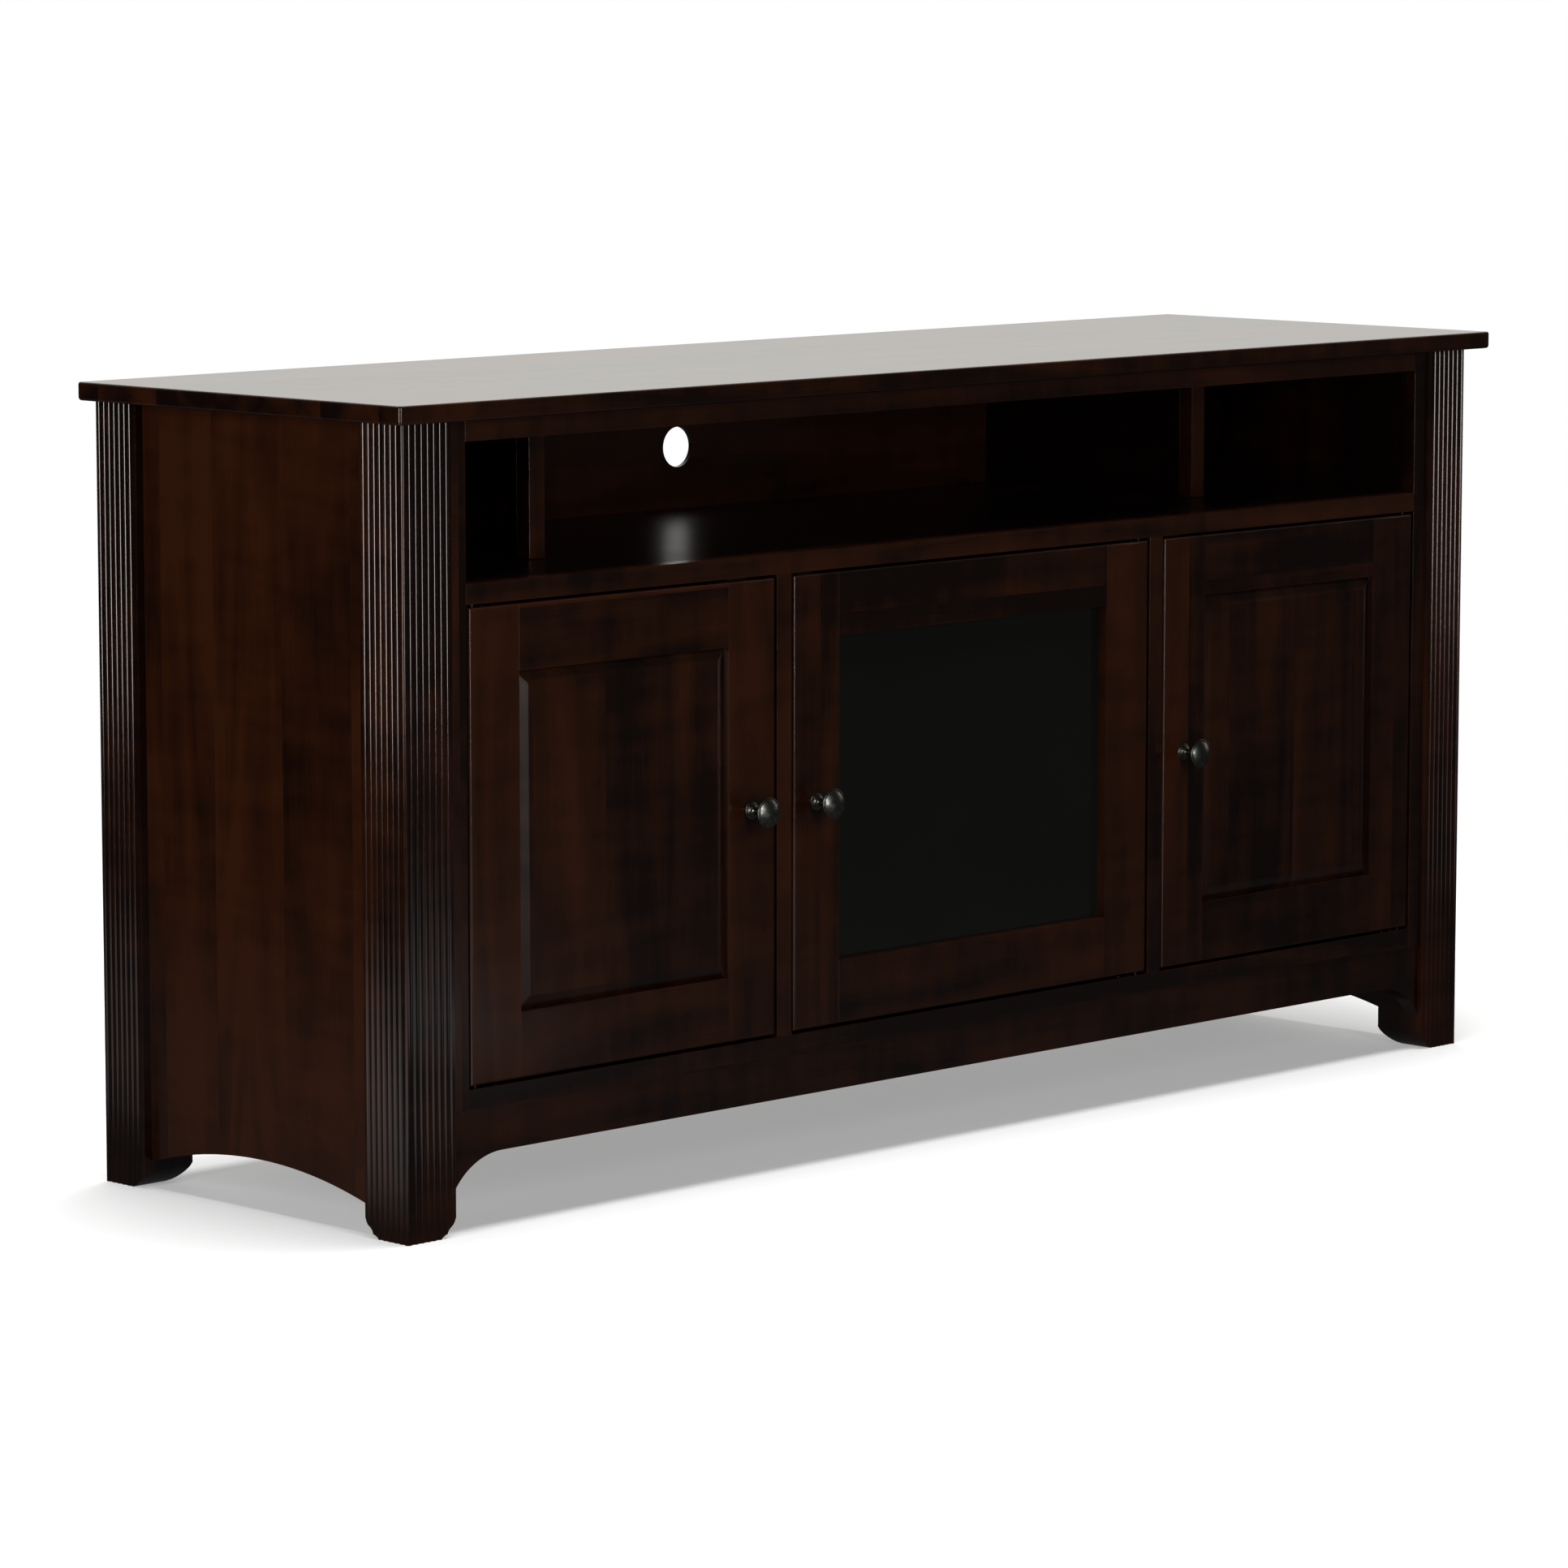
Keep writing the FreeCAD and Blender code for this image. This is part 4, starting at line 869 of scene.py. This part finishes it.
def countersunk_screw(centre, up):
    """A flat screw head that sits just proud of a level face; up is +1 or -1."""
    middle = centre + Vector((0, 0, up * HEAD_PROUD))
    head = make_rod("leaf_screw", middle, HEAD_RADIUS, HEAD_THICKNESS, "Z", 24)
    soften(head, 0.00015, angle=40)
    low = centre - Vector((SLOT_REACH, SLOT_HALF_WIDTH, 0))
    high = centre + Vector((SLOT_REACH, SLOT_HALF_WIDTH, 0))
    low.z, high.z = sorted((centre.z + up * SLOT_FLOOR, centre.z + up * SLOT_MOUTH))
    combine(head, saw_board("slot_cutter", low, high))
    return head


SCREW_DISTANCES, DOOR_GAP = (0.019, 0.034), 0.003
frame_leaves = copy_part("hinge_frame_plates", "frame_hinge_leaves")
soften(frame_leaves, 0.0003, angle=40)
for door in DOORS:
    low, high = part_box(f"{door}_door_hinge_plates")
    leaves = copy_part(f"{door}_door_hinge_plates", f"{door}_door_hinge_leaves")
    soften(leaves, 0.0003, angle=40)
    outer, inwards = (low.x, 1) if door == "left" else (high.x, -1)
    for distance in SCREW_DISTANCES:
        for z, up in ((low.z, -1), (high.z, 1)):
            place = Vector((outer + inwards * distance, (low.y + high.y) / 2, z))
            facing_place = place + Vector((0, 0, up * DOOR_GAP))
            add_to(leaves, countersunk_screw(place, up))
            add_to(frame_leaves, countersunk_screw(facing_place, -up))
    finish_piece(leaves, bronze, [f"{door}_door_hinge_plates"], f"{door}_door")
finish_piece(frame_leaves, bronze, ["hinge_frame_plates"])
print("hinge leaves and screws in place")

# %% [markdown]
# ## Catches and strikes
# A magnet in a small plastic case hangs behind the head of each door and pulls a steel strike on the
# door's back. The case has two ears, ribs on its sides and two pole plates at its face.

# %% Strikes
STRIKE_CORNER, STRIKE_HOLE, STRIKE_HOLE_OFF = 0.002, 0.0016, 0.0075
for door in DOORS:
    low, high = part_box(f"{door}_door_strike")
    middle = (low + high) / 2
    strike = saw_board(f"{door}_strike_plate", low, high)
    round_edges(strike, lambda mid: not is_at(mid.x, middle.x) and is_at(mid.z, middle.z), STRIKE_CORNER)
    soften(strike, 0.0002, angle=40)
    for sign in (-1, 1):
        hole = (middle.x + sign * STRIKE_HOLE_OFF, high.y - 0.0001, middle.z)
        combine(strike, make_rod("screw_hole", hole, STRIKE_HOLE, 0.0008, "Y", 24))
    finish_piece(strike, zinc, [f"{door}_door_strike"], f"{door}_door")

# %% Catches
CASE_HALF, EAR_MIDDLE, EAR_HALF, EAR_THICKNESS = 0.0145, 0.017, 0.003, 0.0028
POLE_HALF, POLE_DEPTH, POLE_THICKNESS, POLE_PROUD = 0.011, 0.004, 0.0012, 0.0002
POLE_HEIGHT, POLE_OFF = 0.0045, 0.002
RIBS, RIB_PITCH, RIB_WIDTH, RIB_DEPTH = 3, 0.004, 0.0015, 0.0005
catch_low, catch_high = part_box("magnetic_catches")


def block(name, x, half, front, back, bottom, top):
    """A block about x, from the catch's front and back and between two heights."""
    return saw_board(name, (x - half, catch_low.y + front, bottom), (x + half, catch_high.y - back, top))


def make_case(x):
    """A plastic case with an ear and grooves between ribs on each side."""
    case = block("catch_case", x, CASE_HALF, POLE_PROUD, 0, catch_low.z, catch_high.z)
    soften(case, 0.0008, 3)
    for sign in (-1, 1):
        ear = block("catch_ear", x + sign * EAR_MIDDLE, EAR_HALF, 0.002, 0.001,
                    catch_high.z - EAR_THICKNESS, catch_high.z)
        soften(ear, 0.0006)
        combine(case, ear, "UNION")
        for groove in range(1, RIBS + 1):
            z = catch_low.z + groove * RIB_PITCH
            cutter = block("rib_cutter", x + sign * CASE_HALF, RIB_DEPTH, 0.003, 0.003, z, z + RIB_WIDTH)
            combine(case, cutter)
    return case


def make_pole(x, sign):
    """A steel plate at the face of a case: the lower one with -1, the upper one with +1."""
    z = catch_low.z + POLE_HEIGHT + sign * POLE_OFF
    low = (x - POLE_HALF, catch_low.y, z)
    plate = saw_board("pole_plate", low, (x + POLE_HALF, catch_low.y + POLE_DEPTH, z + POLE_THICKNESS))
    soften(plate, 0.0001, 1)
    return plate


strikes = [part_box(f"{door}_door_strike") for door in DOORS]
middles = [(low.x + high.x) / 2 for low, high in strikes]
cases = join_all([make_case(x) for x in middles], "magnet_cases")
poles = join_all([make_pole(x, sign) for x in middles for sign in (-1, 1)], "catch_pole_plates")
finish_piece(cases, plastic, ["magnetic_catches"])
finish_piece(poles, zinc)
print("catches:", len(cases.data.polygons), "faces")

# %% [markdown]
# ## Shelf pins
# Each loose shelf rests on four turned pins. Half of a pin fits its hole, a shallow groove lies at the
# wall, and the other half carries the shelf. A pin is turned about Y and then laid along X.

# %% Shelf pins
PIN, PIN_LENGTH, SOCKET, SIDE_ROOM = 0.0025, 0.016, 0.008, 0.0015
GROOVE, GROOVE_SLOPE = 0.0003, 0.0003
outline = [(0.0, 0.0), (PIN - 0.0005, 0.0), (PIN, 0.0005), (PIN, 0.0069),
           (PIN - GROOVE, 0.0069 + GROOVE_SLOPE), (PIN - GROOVE, SOCKET), (PIN, SOCKET + GROOVE_SLOPE),
           (PIN, PIN_LENGTH - 0.0006), (PIN - 0.0006, PIN_LENGTH), (0.0, PIN_LENGTH)]
shelf_low, shelf_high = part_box("shelf_pins")


def shelf_pin(wall, sign, y):
    """A pin that stands half in a wall and points along X, to +X with sign 1."""
    pin = turn_profile("shelf_pin", (0, 0, 0), outline, steps=24)
    only(pin)
    bpy.ops.object.mode_set(mode="EDIT")
    bpy.ops.mesh.select_all(action="SELECT")
    bpy.ops.transform.rotate(value=math.pi / 2, orient_axis="Z", center_override=(0, 0, 0))
    bpy.ops.object.mode_set(mode="OBJECT")
    xs = [vertex.co.x for vertex in pin.data.vertices]
    start = wall - sign * SOCKET
    shift = (start - min(xs)) if sign > 0 else (start - max(xs))
    bpy.ops.transform.translate(value=(shift, y, shelf_high.z - PIN))
    bpy.ops.object.transform_apply(location=True)
    return pin


shelves = [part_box(f"{door}_shelf") for door in DOORS]
walls = [wall for low, high in shelves for wall in ((low.x - SIDE_ROOM, 1), (high.x + SIDE_ROOM, -1))]
rows = (shelf_low.y + PIN, shelf_high.y - PIN)
pins = join_all([shelf_pin(wall, sign, y) for wall, sign in walls for y in rows], "turned_shelf_pins")
finish_piece(pins, zinc, ["shelf_pins"])
print("pins:", [round(v, 4) for v in (shelf_low.x, shelf_high.x)])

# %% [markdown]
# ## The back
# A thin sheet closes the back. Small screws with rounded heads hold its upper and lower edges, the
# lower part of its ends and the line of the fixed shelf. They are one repeated shape, turned in few steps.

# %% Back screws
low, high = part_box("back_panel")
INSET, HALF_BOARD, SPACES = 0.012, 0.0095, 10
BACK_HEAD, BACK_RISE = 0.0036, 0.0018
columns = [low.x + INSET + i * (high.x - low.x - 2 * INSET) / SPACES for i in range(SPACES + 1)]
rows = [low.z + INSET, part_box("fixed_shelf")[0].z + HALF_BOARD, high.z - INSET]
places = [(x, z) for x in columns for z in rows]
places += [(x, rows[0] + (rows[1] - rows[0]) * i / 4) for x in (columns[0], columns[-1]) for i in (1, 2, 3)]
outline = rounded_head(BACK_HEAD, BACK_RISE) + [(0.0030, 0.0004), (0.0, 0.0004)]


def back_screw(x, z):
    head = turn_profile("back_screw", (x, high.y, z), outline, steps=16)
    cut_cross(head, Vector((x, high.y + BACK_RISE + 0.0001, z)), BACK_HEAD / 2, BACK_RISE / 2)
    return head


heads = join_all([back_screw(x, z) for x, z in places], "back_screw_heads")
finish_piece(heads, zinc)
print("back screws:", len(places))

# %% [markdown]
# ## What is there at the end
# The number of pieces made is printed.

# %% Count of pieces
print("pieces:", len(made_pieces))
